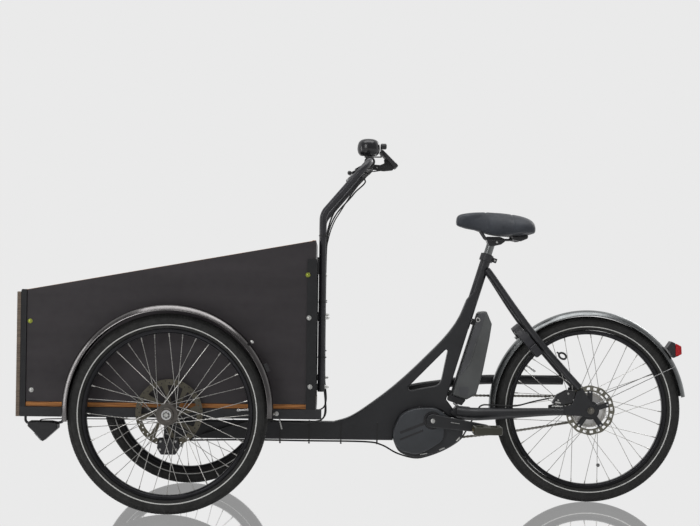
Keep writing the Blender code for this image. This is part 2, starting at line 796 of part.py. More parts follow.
def front_caliper(name, side):
    """Two-piston body over the rotor's lower edge, fixed to the axle beam's tab."""
    outline = [(-0.034, 0.196), (-0.022, 0.176), (0.022, 0.176), (0.034, 0.196), (0.030, 0.226),
               (-0.030, 0.226)]
    near, far = sorted((side * 0.3330, side * 0.3600))
    item = side_plate(name, [outline], near, far, "black_plastic", bevel=0.002)
    low, high = sorted((side * (FRONT_ROTOR_Y - 0.003), side * (FRONT_ROTOR_Y + 0.003)))
    return cut(item, block("slot", (-0.05, low, 0.196), (0.05, high, 0.240)))


def bar_hose():
    """The run of the right hose from its lever down the back of the upright, to below the base."""
    return [(0.585, 0.0915, 1.058), (0.592, 0.115, 1.046), (0.596, 0.170, 1.040),
            (0.588, 0.222, 1.031), (0.566, 0.246, 1.012), (0.547, 0.250, 0.989),
            (0.502, 0.248, 0.936), (0.4770, 0.2420, 0.880), (0.4640, 0.2372, 0.800),
            (0.4625, 0.2368, 0.700), (0.4625, 0.2368, 0.450), (0.4680, 0.2375, 0.370),
            (0.4733, 0.2420, 0.300)]


def hose(name, points, steps=2):
    path = smooth(points, steps)
    item = tube(name, path, HOSE_RADIUS, "rubber", resolution=1)
    smooth_shade(item, 60)
    return item


def front_hoses():
    """The right lever works both front brakes, the left lever the rear one."""
    under = [(0.452, 0.238, 0.270), (0.380, 0.225, 0.2655), (0.200, 0.245, 0.2665),
             (0.070, 0.290, 0.2600), (0.050, 0.3185, 0.232), (0.0372, 0.3380, 0.1990)]
    branch = [(0.083, 0.272, 0.262), (0.086, 0.200, 0.2660), (0.086, 0.000, 0.2660),
              (0.084, -0.230, 0.2650), (0.066, -0.298, 0.2560), (0.050, -0.3185, 0.232),
              (0.0372, -0.3380, 0.1990)]
    return [hose("front_brake_hose", bar_hose() + under), hose("left_branch_hose", branch),
            hose("rear_hose_upper", mirrored_y(bar_hose() + [(0.458, 0.240, 0.2745)]))]


# ---------------------------------------------------------------- rear frame

def tube_line(height, offset=0.0):
    """X of the seat tube's rear edge at a height, or of a line in front of or behind it."""
    across = math.sqrt(1 + TUBE_SLOPE ** 2)
    return TUBE_FOOT[0] + TUBE_SLOPE * (height - TUBE_FOOT[1]) + offset * across


def seat_axis(height):
    return tube_line(height, -TUBE_RADIUS)


def along_tube(run, away):
    """A point given by its run up the seat tube and its distance behind it."""
    size = math.sqrt(1 + TUBE_SLOPE ** 2)
    up = (TUBE_SLOPE / size, 1 / size)
    return (TUBE_FOOT[0] + run * up[0] + away * up[1], TUBE_FOOT[1] + run * up[1] - away * up[0])


def frame_spine():
    """Beam, sweeping arm, plate over the motor and seat tube, with the open triangle."""
    sweep = smooth([(0.500, BEAM_HIGH), (0.560, 0.273), (0.653, 0.338), (0.728, 0.401),
                    (0.802, 0.473), (0.858, 0.532), (0.898, 0.588), (0.926, 0.652)], 2)
    seat = [(seat_axis(0.690), 0.690), (tube_line(0.640, -0.003), 0.640),
            (tube_line(TUBE_FOOT[1], -0.001), TUBE_FOOT[1])]
    belly = [(0.912, 0.262), (0.868, 0.285), (0.836, 0.3055), (0.748, 0.3055), (0.712, 0.288),
             (0.694, 0.262), (0.682, 0.225), (0.680, BEAM_LOW)]
    nose = [(-0.025, BEAM_LOW), (-0.035, BEAM_LOW + 0.010), (-0.035, BEAM_HIGH - 0.010),
            (-0.025, BEAM_HIGH)]
    triangle = [(0.738, 0.366), (0.740, 0.358), (0.748, 0.356), (0.828, 0.371), (0.840, 0.378),
                (0.847, 0.392), (0.866, 0.484), (0.862, 0.489), (0.857, 0.487)]
    item = side_plate("frame_spine", [nose + sweep + seat + belly, triangle], -FRAME_HALF_WIDTH,
                      FRAME_HALF_WIDTH, "frame_black", bevel=0.004, rounds=1)
    foot, top = 0.560, TUBE_TOP_HEIGHT
    join(item, rod("tube", (seat_axis(foot), 0, foot), (seat_axis(top), 0, top), TUBE_RADIUS))
    foot, top = 0.540, TUBE_TOP_HEIGHT + 0.05
    cut(item, rod("bore", (seat_axis(foot), 0, foot), (seat_axis(top), 0, top), TUBE_BORE),
        rod("pin_hole", (0, 0, 0.15), (0, 0, 0.30), 0.0127))
    smooth_shade(item, 30)
    return item


def seat_collar():
    low, high = 0.776, 0.7985
    profile = [(0.0215, 0.011), (0.0215, -0.011), (TUBE_RADIUS + 0.0006, -0.011),
               (TUBE_RADIUS + 0.0006, 0.011)]
    item = turned("seat_collar", profile, "frame_black")
    join(item, block("lug", (0.0195, -0.009, -0.007), (0.034, 0.009, 0.007)))
    turn_mesh(item, 90, "X")
    turn_mesh(item, math.degrees(math.atan(TUBE_SLOPE)), "Y")
    middle = (low + high) / 2
    return move_mesh(item, (seat_axis(middle), 0, middle))


def stay_path():
    return [(0.9965, -0.0125, 0.742), (1.012, -0.018, 0.718), (1.085, -0.0465, 0.612),
            (1.160, -0.0545, 0.514), (1.240, -0.066, 0.422), (1.285, -0.0715, 0.3722)]


def dropout_outline(corner=()):
    """Plate round the rear axle, reaching forward to the chain stay and up to the seat stay."""
    return ([(1.205, 0.2862), (1.300, 0.2830)] + arc((WHEELBASE, AXLE_HEIGHT), 0.021, -110, 60, 6)
            + list(corner) + [(1.262, 0.3200), (1.205, 0.3065)])


def seat_stays():
    """Both seat stays, joined behind the seat tube, the raised right chain stay and dropout."""
    left = stay_path()
    item = tube("seat_stays", smooth(left, 2), STAY_RADIUS, "frame_black")
    right = tube("right", smooth(mirrored_y(left) + [(1.305, 0.0715, 0.345)], 2), STAY_RADIUS)
    raised = tube("raised", smooth([(0.742, 0.0364, 0.3560), (0.790, 0.0370, 0.3650),
                                    (0.8545, 0.0400, 0.3740), (0.872, 0.0520, 0.3780),
                                    (0.910, 0.0590, 0.3810), (1.000, 0.0590, 0.3895),
                                    (1.150, 0.0590, 0.3900), (1.250, 0.0655, 0.3900)], 2), 0.0155)
    plate = side_plate("dropout", [dropout_outline([(1.322, 0.340), (1.300, 0.366), (1.270, 0.366)])],
                       DROPOUT_INNER, DROPOUT_OUTER)
    bridge = rod("bridge", (1.0085, -0.020, 0.722), (1.0085, 0.020, 0.722), 0.010)
    join(item, right, bridge, raised, plate)
    cut(item, rod("axle_hole", (WHEELBASE, 0.05, AXLE_HEIGHT), (WHEELBASE, 0.09, AXLE_HEIGHT), 0.0056),
        seat_tube_clearance())
    smooth_shade(item, 50)
    return item


def seat_tube_clearance():
    foot, top = 0.60, 0.85
    return rod("clearance", (seat_axis(foot), 0, foot), (seat_axis(top), 0, top), TUBE_RADIUS + 0.0005)


def left_chain_stay():
    path = [(0.894, -0.0418, 0.2880), (0.935, -0.0440, 0.2840), (0.985, -0.0502, 0.2850),
            (1.080, -0.0525, 0.2890), (1.180, -0.0620, 0.2945), (1.235, -0.0690, 0.2965)]
    swell = [1.68, 1.72, 1.66, 1.36, 1.06, 0.98]
    item = tube("left_chain_stay", path, 0.012, "frame_black", resolution=3, swell=swell)
    plate = side_plate("dropout", [dropout_outline([(1.322, 0.340), (1.2946, 0.3775), (1.2774, 0.3625)])],
                       -DROPOUT_OUTER, -DROPOUT_INNER)
    join(item, plate)
    cut(item, rod("axle_hole", (WHEELBASE, -0.05, AXLE_HEIGHT), (WHEELBASE, -0.09, AXLE_HEIGHT), 0.0056))
    smooth_shade(item, 50)
    return item


def rear_axle():
    item = rod("rear_axle", (WHEELBASE, -0.090, AXLE_HEIGHT), (WHEELBASE, 0.090, AXLE_HEIGHT), 0.005,
               "steel", sides=12)
    nuts = []
    for side in (-1, 1):
        nuts.append(rod("nut", (WHEELBASE, side * 0.0749, AXLE_HEIGHT),
                        (WHEELBASE, side * 0.085, AXLE_HEIGHT), 0.0098, sides=6))
    return join(item, *nuts)


def motor_outline():
    return [(0.690, 0.224), (0.701, 0.256), (0.718, 0.281), (0.752, 0.298), (0.789, 0.3025),
            (0.829, 0.300)]


def motor_housing():
    """Motor body, with the guard that runs back below the chainring."""
    guard = [(0.860, 0.280), (0.894, 0.258), (0.915, 0.232), (0.902, 0.200), (0.853, 0.168),
             (0.801, 0.150), (0.762, 0.143), (0.714, 0.158), (0.694, 0.190)]
    item = side_plate("motor_housing", [motor_outline() + guard], -0.055, 0.040, "black_plastic",
                      bevel=0.005)
    return cut(item, spindle_hole(-0.08, 0.06))


def spindle_hole(y_low, y_high):
    return rod("spindle_hole", (CRANK[0], y_low, CRANK[1]), (CRANK[0], y_high, CRANK[1]), SPINDLE_BORE)


def motor_cover():
    rest = [(0.858, 0.275), (0.854, 0.240), (0.848, 0.203), (0.820, 0.180), (0.790, 0.163),
            (0.762, 0.155), (0.735, 0.160), (0.714, 0.167), (0.695, 0.190)]
    item = side_plate("motor_cover", [motor_outline() + rest], -0.070, -0.0553, "grey_plastic",
                      bevel=0.004)
    return cut(item, spindle_hole(-0.08, -0.05))


def battery_dock():
    """Rail behind the seat tube, with two bosses and the shoe below the battery."""
    rail = [along_tube(run, away) for run, away in ((0.004, 0.0082), (0.295, 0.0082),
                                                    (0.295, 0.0114), (0.004, 0.0114))]
    item = side_plate("battery_dock", [rail], -0.014, 0.014, "black_plastic")
    shoe = [along_tube(run, away) for run, away in ((-0.002, 0.0040), (0.0190, 0.0040),
                                                    (0.0190, 0.060), (-0.0035, 0.052))]
    additions = [side_plate("shoe", [shoe], -0.025, 0.025)]
    for run in (0.012, 0.255):
        boss = [along_tube(run + r, away) for r, away in ((0, 0.0010), (0, 0.0100), (0.02, 0.0100),
                                                          (0.02, 0.0010))]
        additions.append(side_plate("boss", [boss], -0.008, 0.008))
    return join(item, *additions)


def battery():
    outline = [along_tube(run, away) for run, away in (
        (0.0195, 0.0118), (0.0195, 0.060), (0.045, 0.0845), (0.116, 0.083), (0.226, 0.071),
        (0.277, 0.063), (0.311, 0.034), (0.301, 0.0118))]
    return side_plate("battery", [outline[::-1]], -0.038, 0.038, "grey_plastic", bevel=0.005)


def rear_mudguard():
    item = mudguard("rear_mudguard", REAR_GUARD_RADIUS, REAR_GUARD_DEPTH, 8.0, 183.5)
    smooth_shade(item, 40)
    return move_mesh(item, (WHEELBASE, 0, AXLE_HEIGHT))


def rear_mudguard_stay():
    """One wire from dropout to dropout, passing between tyre and mudguard."""
    x, z = on_wheel(0.3105, 27.0)
    leg = [(1.338, -0.0775, 0.322), (x, -0.0330, z)]
    path = rounded(leg + mirrored_y(leg)[::-1], 0.008, 3)
    return tube("rear_mudguard_stay", path, 0.002, "steel")


def tail_light():
    outline = arc((WHEELBASE, AXLE_HEIGHT), REAR_GUARD_RADIUS + 0.002, 31.5, 38.5, 2)
    outline += [(1.590, 0.5235), (1.612, 0.514), (1.623, 0.508), (1.624, 0.481), (1.6095, 0.475)]
    return side_plate("tail_light", [outline], -0.024, 0.024, "black_plastic", bevel=0.0015)


def lock_frame():
    """X radially outwards at the lock's angle, Y to the right, Z along the tyre."""
    angle = math.radians(LOCK_ANGLE)
    outward = Vector((math.cos(angle), 0, math.sin(angle)))
    frame = local_frame((0, 0, 0), outward, (0, 1, 0))
    centre = Vector((WHEELBASE, 0, AXLE_HEIGHT)) + outward * LOCK_CENTRE
    frame.translation = centre + frame.col[2].to_3d() * LOCK_OFFSET
    return frame


def ring_lock():
    """Horseshoe round the tyre with a channel for the bolt, open towards the hub."""
    half = LOCK_THICKNESS / 2
    body = sector(LOCK_RING - 0.010, LOCK_RING + 0.010, -180 + LOCK_GAP, 180 - LOCK_GAP, 20)
    item = extruded("ring_lock", [body], LOCK_THICKNESS, Matrix.Identity(4), "black_plastic")
    channel = sector(LOCK_RING - 0.0055, LOCK_RING + 0.0055, -187 + LOCK_GAP, 187 - LOCK_GAP, 20)
    floor, mouth = -0.0055, half + 0.001
    slot = extruded("slot", [channel], mouth - floor, Matrix.Translation((0, 0, (floor + mouth) / 2)))
    cut(item, slot)
    item.data.transform(lock_frame())
    smooth_shade(item, 30)
    return item


def lock_shackle():
    """Bolt of the ring lock, drawn back into its channel, with a thumb tab."""
    bolt = sector(LOCK_RING - 0.0046, LOCK_RING + 0.0046, 32, 132, 12)
    item = extruded("lock_shackle", [bolt], 0.009, Matrix.Identity(4), "steel")
    tab = block("tab", (LOCK_RING - 0.004, -0.005, 0.002), (LOCK_RING + 0.004, 0.005, 0.020))
    turn_mesh(tab, 60, "Z")
    return join(item, tab)


def rear_caliper():
    """Body over the front of the rear rotor, between the two left stays."""
    outline = [(1.198, 0.322), (1.212, 0.350), (1.244, 0.366), (1.274, 0.362), (1.280, 0.338),
               (1.267, 0.3225), (1.227, 0.3150)]
    item = side_plate("rear_caliper", [outline[::-1]], -0.0655, -0.0440, "black_plastic", bevel=0.002)
    slot = rod("slot", (WHEELBASE, REAR_ROTOR_Y - 0.003, AXLE_HEIGHT),
               (WHEELBASE, REAR_ROTOR_Y + 0.003, AXLE_HEIGHT), REAR_ROTOR + 0.003, sides=32)
    return cut(item, slot)


def rear_hose_lower():
    points = [(0.030, -0.006, 0.1865), (0.220, -0.004, 0.1895), (0.420, -0.004, 0.1885),
              (0.600, -0.004, 0.1875), (0.655, -0.006, 0.1780), (0.705, -0.008, 0.1520),
              (0.760, -0.008, 0.1375), (0.802, -0.008, 0.1435), (0.860, -0.008, 0.1665),
              (0.908, -0.010, 0.1985), (0.932, -0.014, 0.2350), (0.956, -0.0205, 0.2800),
              (0.974, -0.0300, 0.3100), (1.010, -0.0470, 0.3135), (1.080, -0.0530, 0.3120),
              (1.140, -0.0555, 0.3270), (1.1980, -0.0550, 0.3395)]
    return hose("rear_hose_lower", points)


# ---------------------------------------------------------------- drive

def pitch_radius(teeth):
    return CHAIN_PITCH / (2 * math.sin(math.pi / teeth))


def chain_wheel(name, teeth, bore, centre, arms, finish):
    """A chain wheel up to just inside its chain, which the finer tooth work covers."""
    radius = pitch_radius(teeth) - 0.0046
    loops = [circle(centre, radius, 36), circle(centre, bore, 16)]
    for index in range(arms):
        middle = index * 360 / arms
        loops.append(sector(0.024, radius - 0.012, middle - 24, middle + 24, 3, centre))
    return side_plate(name, loops, CHAIN_Y - 0.003, CHAIN_Y + 0.003, finish)


def chain():
    """The chain as a closed band, a little wider than its rollers."""
    axle = (WHEELBASE, AXLE_HEIGHT)
    large, small = pitch_radius(RING_TEETH), pitch_radius(SPROCKET_TEETH)
    outer = link_outline(CRANK, large + 0.0045, axle, small + 0.0045, 14)
    inner = link_outline(CRANK, large - 0.0040, axle, small - 0.0040, 14)
    return side_plate("chain", [outer, inner], CHAIN_Y - CHAIN_HALF_WIDTH, CHAIN_Y + CHAIN_HALF_WIDTH,
                      "steel")


def pedal_place(side):
    """The pedal axle's place; the left crank, on the side of negative Y, points rearwards."""
    angle = math.radians(CRANK_SLOPE)
    reach = CRANK_LENGTH * -side
    return CRANK[0] + reach * math.cos(angle), CRANK[1] + reach * math.sin(angle)


def crankset():
    """Spindle, two arms and the two pedal axles."""
    item = rod("crankset", (CRANK[0], -CRANK_OUTER + 0.001, CRANK[1]),
               (CRANK[0], CRANK_OUTER - 0.001, CRANK[1]), SPINDLE_RADIUS, "frame_black")
    additions = []
    for side in (-1, 1):
        end = pedal_place(side)
        near, far = sorted((side * CRANK_INNER, side * CRANK_OUTER))
        additions.append(side_plate("arm", [link_outline(CRANK, 0.021, end, 0.0135, 6)], near, far,
                                    bevel=0.0015))
        additions.append(rod("pedal_axle", (end[0], side * (CRANK_OUTER - 0.005), end[1]),
                             (end[0], side * 0.183, end[1]), PEDAL_AXLE, sides=12))
    item = join(item, *additions)
    smooth_shade(item)
    return item


def pedal(name):
    """Platform pedal about its own axle, with two windows beside the barrel."""
    corner = 0.008
    length, width = 0.045, 0.0425
    edge = [(-length, -width + corner), (-length + corner, -width), (length - corner, -width),
            (length, -width + corner), (length, width - corner), (length - corner, width),
            (-length + corner, width), (-length, width - corner)]
    windows = [[(x, -0.033), (x + 0.021, -0.033), (x + 0.021, 0.033), (x, 0.033)]
               for x in (-0.033, 0.012)]
    item = floor_plate(name, [edge, *windows], -0.012, 0.012, "black_plastic")
    return cut(item, rod("bore", (0, -0.06, 0), (0, 0.06, 0), 0.0062, sides=12))


def drive(parent):
    spin = joint_empty("crank_axis", (CRANK[0], 0, CRANK[1]), parent)
    carry(spin, crankset(), chain_wheel("chainring", RING_TEETH, 0.0127, CRANK, 5, "frame_black"))
    axle = (WHEELBASE, AXLE_HEIGHT)
    carry(joint_empty("sprocket_axis", (axle[0], 0, axle[1]), parent),
          chain_wheel("rear_sprocket", SPROCKET_TEETH, 0.0180, axle, 0, "steel"))
    left = pedal("left_pedal")
    right = turn_mesh(pedal("right_pedal"), RIGHT_PEDAL_TILT, "Y")
    for item, side, word in ((left, -1, "left"), (right, 1, "right")):
        x, z = pedal_place(side)
        item.parent = joint_empty(word + "_pedal_axis", (x, side * PEDAL_Y, z), spin)


# ---------------------------------------------------------------- saddle

SADDLE_SECTIONS = [
    # x, half width, top, bottom
    (0.886, 0.014, 0.906, 0.889),
    (0.900, 0.022, 0.925, 0.886),
    (0.950, 0.030, 0.936, 0.883),
    (1.000, 0.046, 0.934, 0.868),
    (1.045, 0.082, 0.929, 0.864),
    (1.095, 0.106, 0.931, 0.866),
    (1.132, 0.096, 0.917, 0.870),
    (1.143, 0.070, 0.898, 0.876),
]


def saddle():
    """A closed cage of eight cross sections, softened by subdivision."""
    shape = bmesh.new()
    rows = []
    for x, half, top, bottom in SADDLE_SECTIONS:
        shoulder = bottom + 0.6 * (top - bottom)
        ring = [(-half * 0.55, bottom), (-half, bottom + 0.008), (-half, shoulder), (-half * 0.5, top),
                (half * 0.5, top), (half, shoulder), (half, bottom + 0.008), (half * 0.55, bottom)]
        rows.append([shape.verts.new((x, y, z)) for y, z in ring])
    for row, following in zip(rows, rows[1:]):
        for index in range(8):
            other = (index + 1) % 8
            shape.faces.new((row[index], following[index], following[other], row[other]))
    shape.faces.new(rows[0])
    shape.faces.new(rows[-1][::-1])
    item = from_bmesh("saddle", shape, "saddle_skin")
    soften = item.modifiers.new("soften", "SUBSURF")
    soften.levels = 1
    soften.render_levels = 1
    settle(item)
    item.data.shade_smooth()
    return item


def seat_post():
    """Post, clamp head and the two rails below the saddle."""
    foot, top = 0.600, 0.840
    item = rod("seat_post", (seat_axis(foot), 0, foot), (seat_axis(top), 0, top), POST_RADIUS, "steel")
    additions = [block("head", (0.990, -0.024, 0.834), (1.034, 0.024, 0.8475))]
    for y in (-0.021, 0.021):
        path = rounded([(0.968, y, 0.8720), (0.986, y, 0.8465), (1.066, y, 0.8465), (1.094, y, 0.8610)],
                       0.015, 3)
        additions.append(tube("rail", path, 0.0035))
    item = join(item, *additions)
    smooth_shade(item)
    return item


# ---------------------------------------------------------------- assembly

def build_front(trike):
    steering = joint_empty("steering_axis", (0, 0, 0), trike)
    pieces = [box_base_frame(), axle_beam(), king_pin(), box_floor(), side_panel("left_side_panel", -1),
              side_panel("right_side_panel", 1), push_bar(), bell_dome(), display(),
              bar_ring("left_grip", -0.195, -0.0725, 0.0165, "rubber"),
              bar_ring("right_grip", 0.1055, 0.195, 0.0165, "rubber"),
              front_mudguard("left_front_mudguard", -1), front_mudguard("right_front_mudguard", 1),
              headlight(), front_caliper("left_brake_caliper", -1),
              front_caliper("right_brake_caliper", 1), *end_panels(), *front_hoses()]
    for item in pieces:
        item.parent = steering
    front_wheels(steering)
    brake_levers(steering)
    top_x, top_z = BAR_TOP
    carry(joint_empty("shifter_axis", (top_x, 0, top_z), steering),
          bar_ring("twist_shifter", 0.0725, 0.1050, 0.0190, "rubber"))
    carry(joint_empty("bell_axis", (BELL_X, BELL_Y, BELL_LOW), steering), bell_lever())


def build_rear(trike):
    pieces = [frame_spine(), seat_collar(), seat_stays(), left_chain_stay(), rear_axle(),
              motor_housing(), motor_cover(), battery_dock(), rear_mudguard(), rear_mudguard_stay(),
              tail_light(), ring_lock(), rear_caliper(), chain(), rear_hose_lower()]
    for item in pieces:
        item.parent = trike
    rear_wheel(trike)
    drive(trike)
    carry(joint_empty("seat_slide", (seat_axis(TUBE_TOP_HEIGHT), 0, TUBE_TOP_HEIGHT), trike),
          seat_post(), saddle())
    foot = along_tube(0.0195, 0.0118)
    carry(joint_empty("battery_axis", (foot[0], -0.038, foot[1]), trike), battery())
    frame = lock_frame()
    joint = joint_empty("lock_axis", frame.translation, trike)
    joint.rotation_euler = frame.to_euler()
    lock_shackle().parent = joint


def main():
    clear_scene()
    trike = bpy.data.objects.new("trike", None)
    PARTS.objects.link(trike)
    build_front(trike)
    build_rear(trike)
    trike.location.x = -MIDDLE
    bpy.context.view_layer.update()


main()
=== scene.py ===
"""Looks of the front-box cargo trike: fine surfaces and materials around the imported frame.

Shapes are drawn in metres from the steering axis, X rearwards, Y to the rider's right and Z
up from the floor. piece() moves them to the frame's own origin and puts them on their body.
"""
import json
import math

import bmesh
import bpy
from mathutils import Matrix, Vector


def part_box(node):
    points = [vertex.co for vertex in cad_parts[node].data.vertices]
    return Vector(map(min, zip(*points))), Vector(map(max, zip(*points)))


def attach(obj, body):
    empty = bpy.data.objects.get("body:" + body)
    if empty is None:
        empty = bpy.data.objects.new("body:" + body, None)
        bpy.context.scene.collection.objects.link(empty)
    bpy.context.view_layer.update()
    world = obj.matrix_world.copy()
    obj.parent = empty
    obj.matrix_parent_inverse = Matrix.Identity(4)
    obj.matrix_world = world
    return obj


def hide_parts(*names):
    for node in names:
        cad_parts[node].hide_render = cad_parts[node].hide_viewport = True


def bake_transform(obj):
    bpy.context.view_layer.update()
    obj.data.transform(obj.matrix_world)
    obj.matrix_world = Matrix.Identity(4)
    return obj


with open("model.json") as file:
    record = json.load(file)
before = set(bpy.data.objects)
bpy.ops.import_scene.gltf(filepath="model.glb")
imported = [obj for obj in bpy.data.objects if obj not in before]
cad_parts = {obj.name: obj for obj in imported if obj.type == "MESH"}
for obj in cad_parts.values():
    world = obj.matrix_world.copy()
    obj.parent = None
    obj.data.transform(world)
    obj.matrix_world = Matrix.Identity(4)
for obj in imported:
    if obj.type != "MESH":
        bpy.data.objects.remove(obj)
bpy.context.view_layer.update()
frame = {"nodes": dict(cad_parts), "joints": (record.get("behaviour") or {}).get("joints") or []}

JOINTS = {joint["name"]: joint for joint in frame["joints"]}
AXIS = Vector((JOINTS["steering"]["pos_m"][0], 0, 0))


def pivot(name):
    """A joint's place, measured from the steering axis."""
    return Vector(JOINTS[name]["pos_m"]) - AXIS


def limits(node):
    """A CAD node's lowest and highest corners, measured from the steering axis."""
    low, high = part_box(node)
    return low - AXIS, high - AXIS


AXLE_HEIGHT = pivot("rear_wheel_spin").z
WHEELBASE = pivot("rear_wheel_spin").x
HALF_TRACK = abs(pivot("left_wheel_spin").y)
CRANK = pivot("crank_spin")
SIDES = ((-1, "left"), (1, "right"))


# ---------------------------------------------------------------- camera, light and floor

FOCAL_LENGTH = 81.94
CAMERA_PLACE = Vector((-0.1130, -5.1699, 0.6924))
YAW, PITCH, ROLL = -0.0137, 0.0141, 0.0124
BACKGROUND = 0.8228
ROOM_DARK = 0.26
ROOM_FADE = (-0.25, 0.20)
FLOOR_GLOSS = 0.66
FLOOR_ROUGHNESS = 0.03
FLOOR_FADE = (1.6, 3.0)


def map_range(tree, value, low, high, start, stop, eased=False):
    """A node's value that goes from low to high as the given one goes from start to stop."""
    node = tree.nodes.new("ShaderNodeMapRange")
    if eased:
        node.interpolation_type = "SMOOTHSTEP"
    node.inputs["From Min"].default_value = start
    node.inputs["From Max"].default_value = stop
    node.inputs["To Min"].default_value = low
    node.inputs["To Max"].default_value = high
    tree.links.new(value, node.inputs["Value"])
    return node.outputs["Result"]


def camera():
    right = Vector((math.cos(YAW), math.sin(YAW), 0))
    ahead = Vector((-math.sin(YAW) * math.cos(PITCH), math.cos(YAW) * math.cos(PITCH), math.sin(PITCH)))
    up = right.cross(ahead)
    rolled_right = right * math.cos(ROLL) + up * math.sin(ROLL)
    rolled_up = up * math.cos(ROLL) - right * math.sin(ROLL)
    lens = bpy.data.cameras.new("camera")
    lens.sensor_width = 36.0
    lens.lens = FOCAL_LENGTH
    lens.clip_end = 300
    item = bpy.data.objects.new("camera", lens)
    matrix = Matrix((rolled_right, rolled_up, -ahead)).transposed().to_4x4()
    item.matrix_world = Matrix.Translation(CAMERA_PLACE) @ matrix
    bpy.context.scene.collection.objects.link(item)
    bpy.context.scene.camera = item


def softbox(name, place, target, size, power):
    light = bpy.data.lights.new(name, "AREA")
    light.shape = "RECTANGLE"
    light.size, light.size_y = size
    light.energy = power
    item = bpy.data.objects.new(name, light)
    item.location = place
    item.rotation_euler = (Vector(target) - Vector(place)).to_track_quat("-Z", "Y").to_euler()
    bpy.context.scene.collection.objects.link(item)


def studio():
    """A lit backdrop behind the trike, a darker room in front of it, and four soft boxes."""
    world = bpy.data.worlds.new("studio")
    bpy.context.scene.world = world
    world.use_nodes = True
    tree = world.node_tree
    tree.nodes.clear()
    direction = tree.nodes.new("ShaderNodeTexCoord")
    split = tree.nodes.new("ShaderNodeSeparateXYZ")
    tree.links.new(direction.outputs["Generated"], split.inputs[0])
    fade = map_range(tree, split.outputs["Y"], ROOM_DARK, BACKGROUND, *ROOM_FADE, eased=True)
    path = tree.nodes.new("ShaderNodeLightPath")
    choose = tree.nodes.new("ShaderNodeMix")
    choose.inputs["B"].default_value = BACKGROUND
    tree.links.new(path.outputs["Is Camera Ray"], choose.inputs["Factor"])
    tree.links.new(fade, choose.inputs["A"])
    glow = tree.nodes.new("ShaderNodeBackground")
    glow.inputs["Color"].default_value = (1, 1, 1, 1)
    tree.links.new(choose.outputs["Result"], glow.inputs["Strength"])
    output = tree.nodes.new("ShaderNodeOutputWorld")
    tree.links.new(glow.outputs[0], output.inputs[0])
    softbox("top_light", (0, -0.6, 3.4), (0, 0, 0.4), (3.6, 1.6), 60)
    softbox("front_light", (-2.6, -4.2, 2.6), (0, 0, 0.5), (1.6, 1.6), 40)
    softbox("back_light", (2.8, 3.4, 2.4), (0, 0, 0.5), (1.4, 1.4), 30)
    softbox("left_strip", (-3.4, -0.5, 1.1), (-0.6, -0.4, 0.5), (0.7, 1.9), 15)


def floor():
    """A pale gloss floor that mirrors the wheels near the trike and is plain further out."""
    bpy.ops.mesh.primitive_plane_add(size=160)
    item = bpy.context.object
    item.name = "studio_floor"
    material = bpy.data.materials.new("floor_gloss")
    material.use_nodes = True
    tree = material.node_tree
    tree.nodes.clear()
    glow = tree.nodes.new("ShaderNodeEmission")
    glow.inputs["Strength"].default_value = BACKGROUND
    gloss = tree.nodes.new("ShaderNodeBsdfGlossy")
    gloss.inputs["Color"].default_value = (1, 1, 1, 1)
    gloss.inputs["Roughness"].default_value = FLOOR_ROUGHNESS
    place = tree.nodes.new("ShaderNodeNewGeometry")
    reach = tree.nodes.new("ShaderNodeVectorMath")
    reach.operation = "LENGTH"
    tree.links.new(place.outputs["Position"], reach.inputs[0])
    near = map_range(tree, reach.outputs["Value"], FLOOR_GLOSS, 0.0, *FLOOR_FADE, eased=True)
    mix = tree.nodes.new("ShaderNodeMixShader")
    tree.links.new(near, mix.inputs["Fac"])
    tree.links.new(glow.outputs[0], mix.inputs[1])
    tree.links.new(gloss.outputs[0], mix.inputs[2])
    output = tree.nodes.new("ShaderNodeOutputMaterial")
    tree.links.new(mix.outputs[0], output.inputs["Surface"])
    item.data.materials.append(material)


# ---------------------------------------------------------------- materials

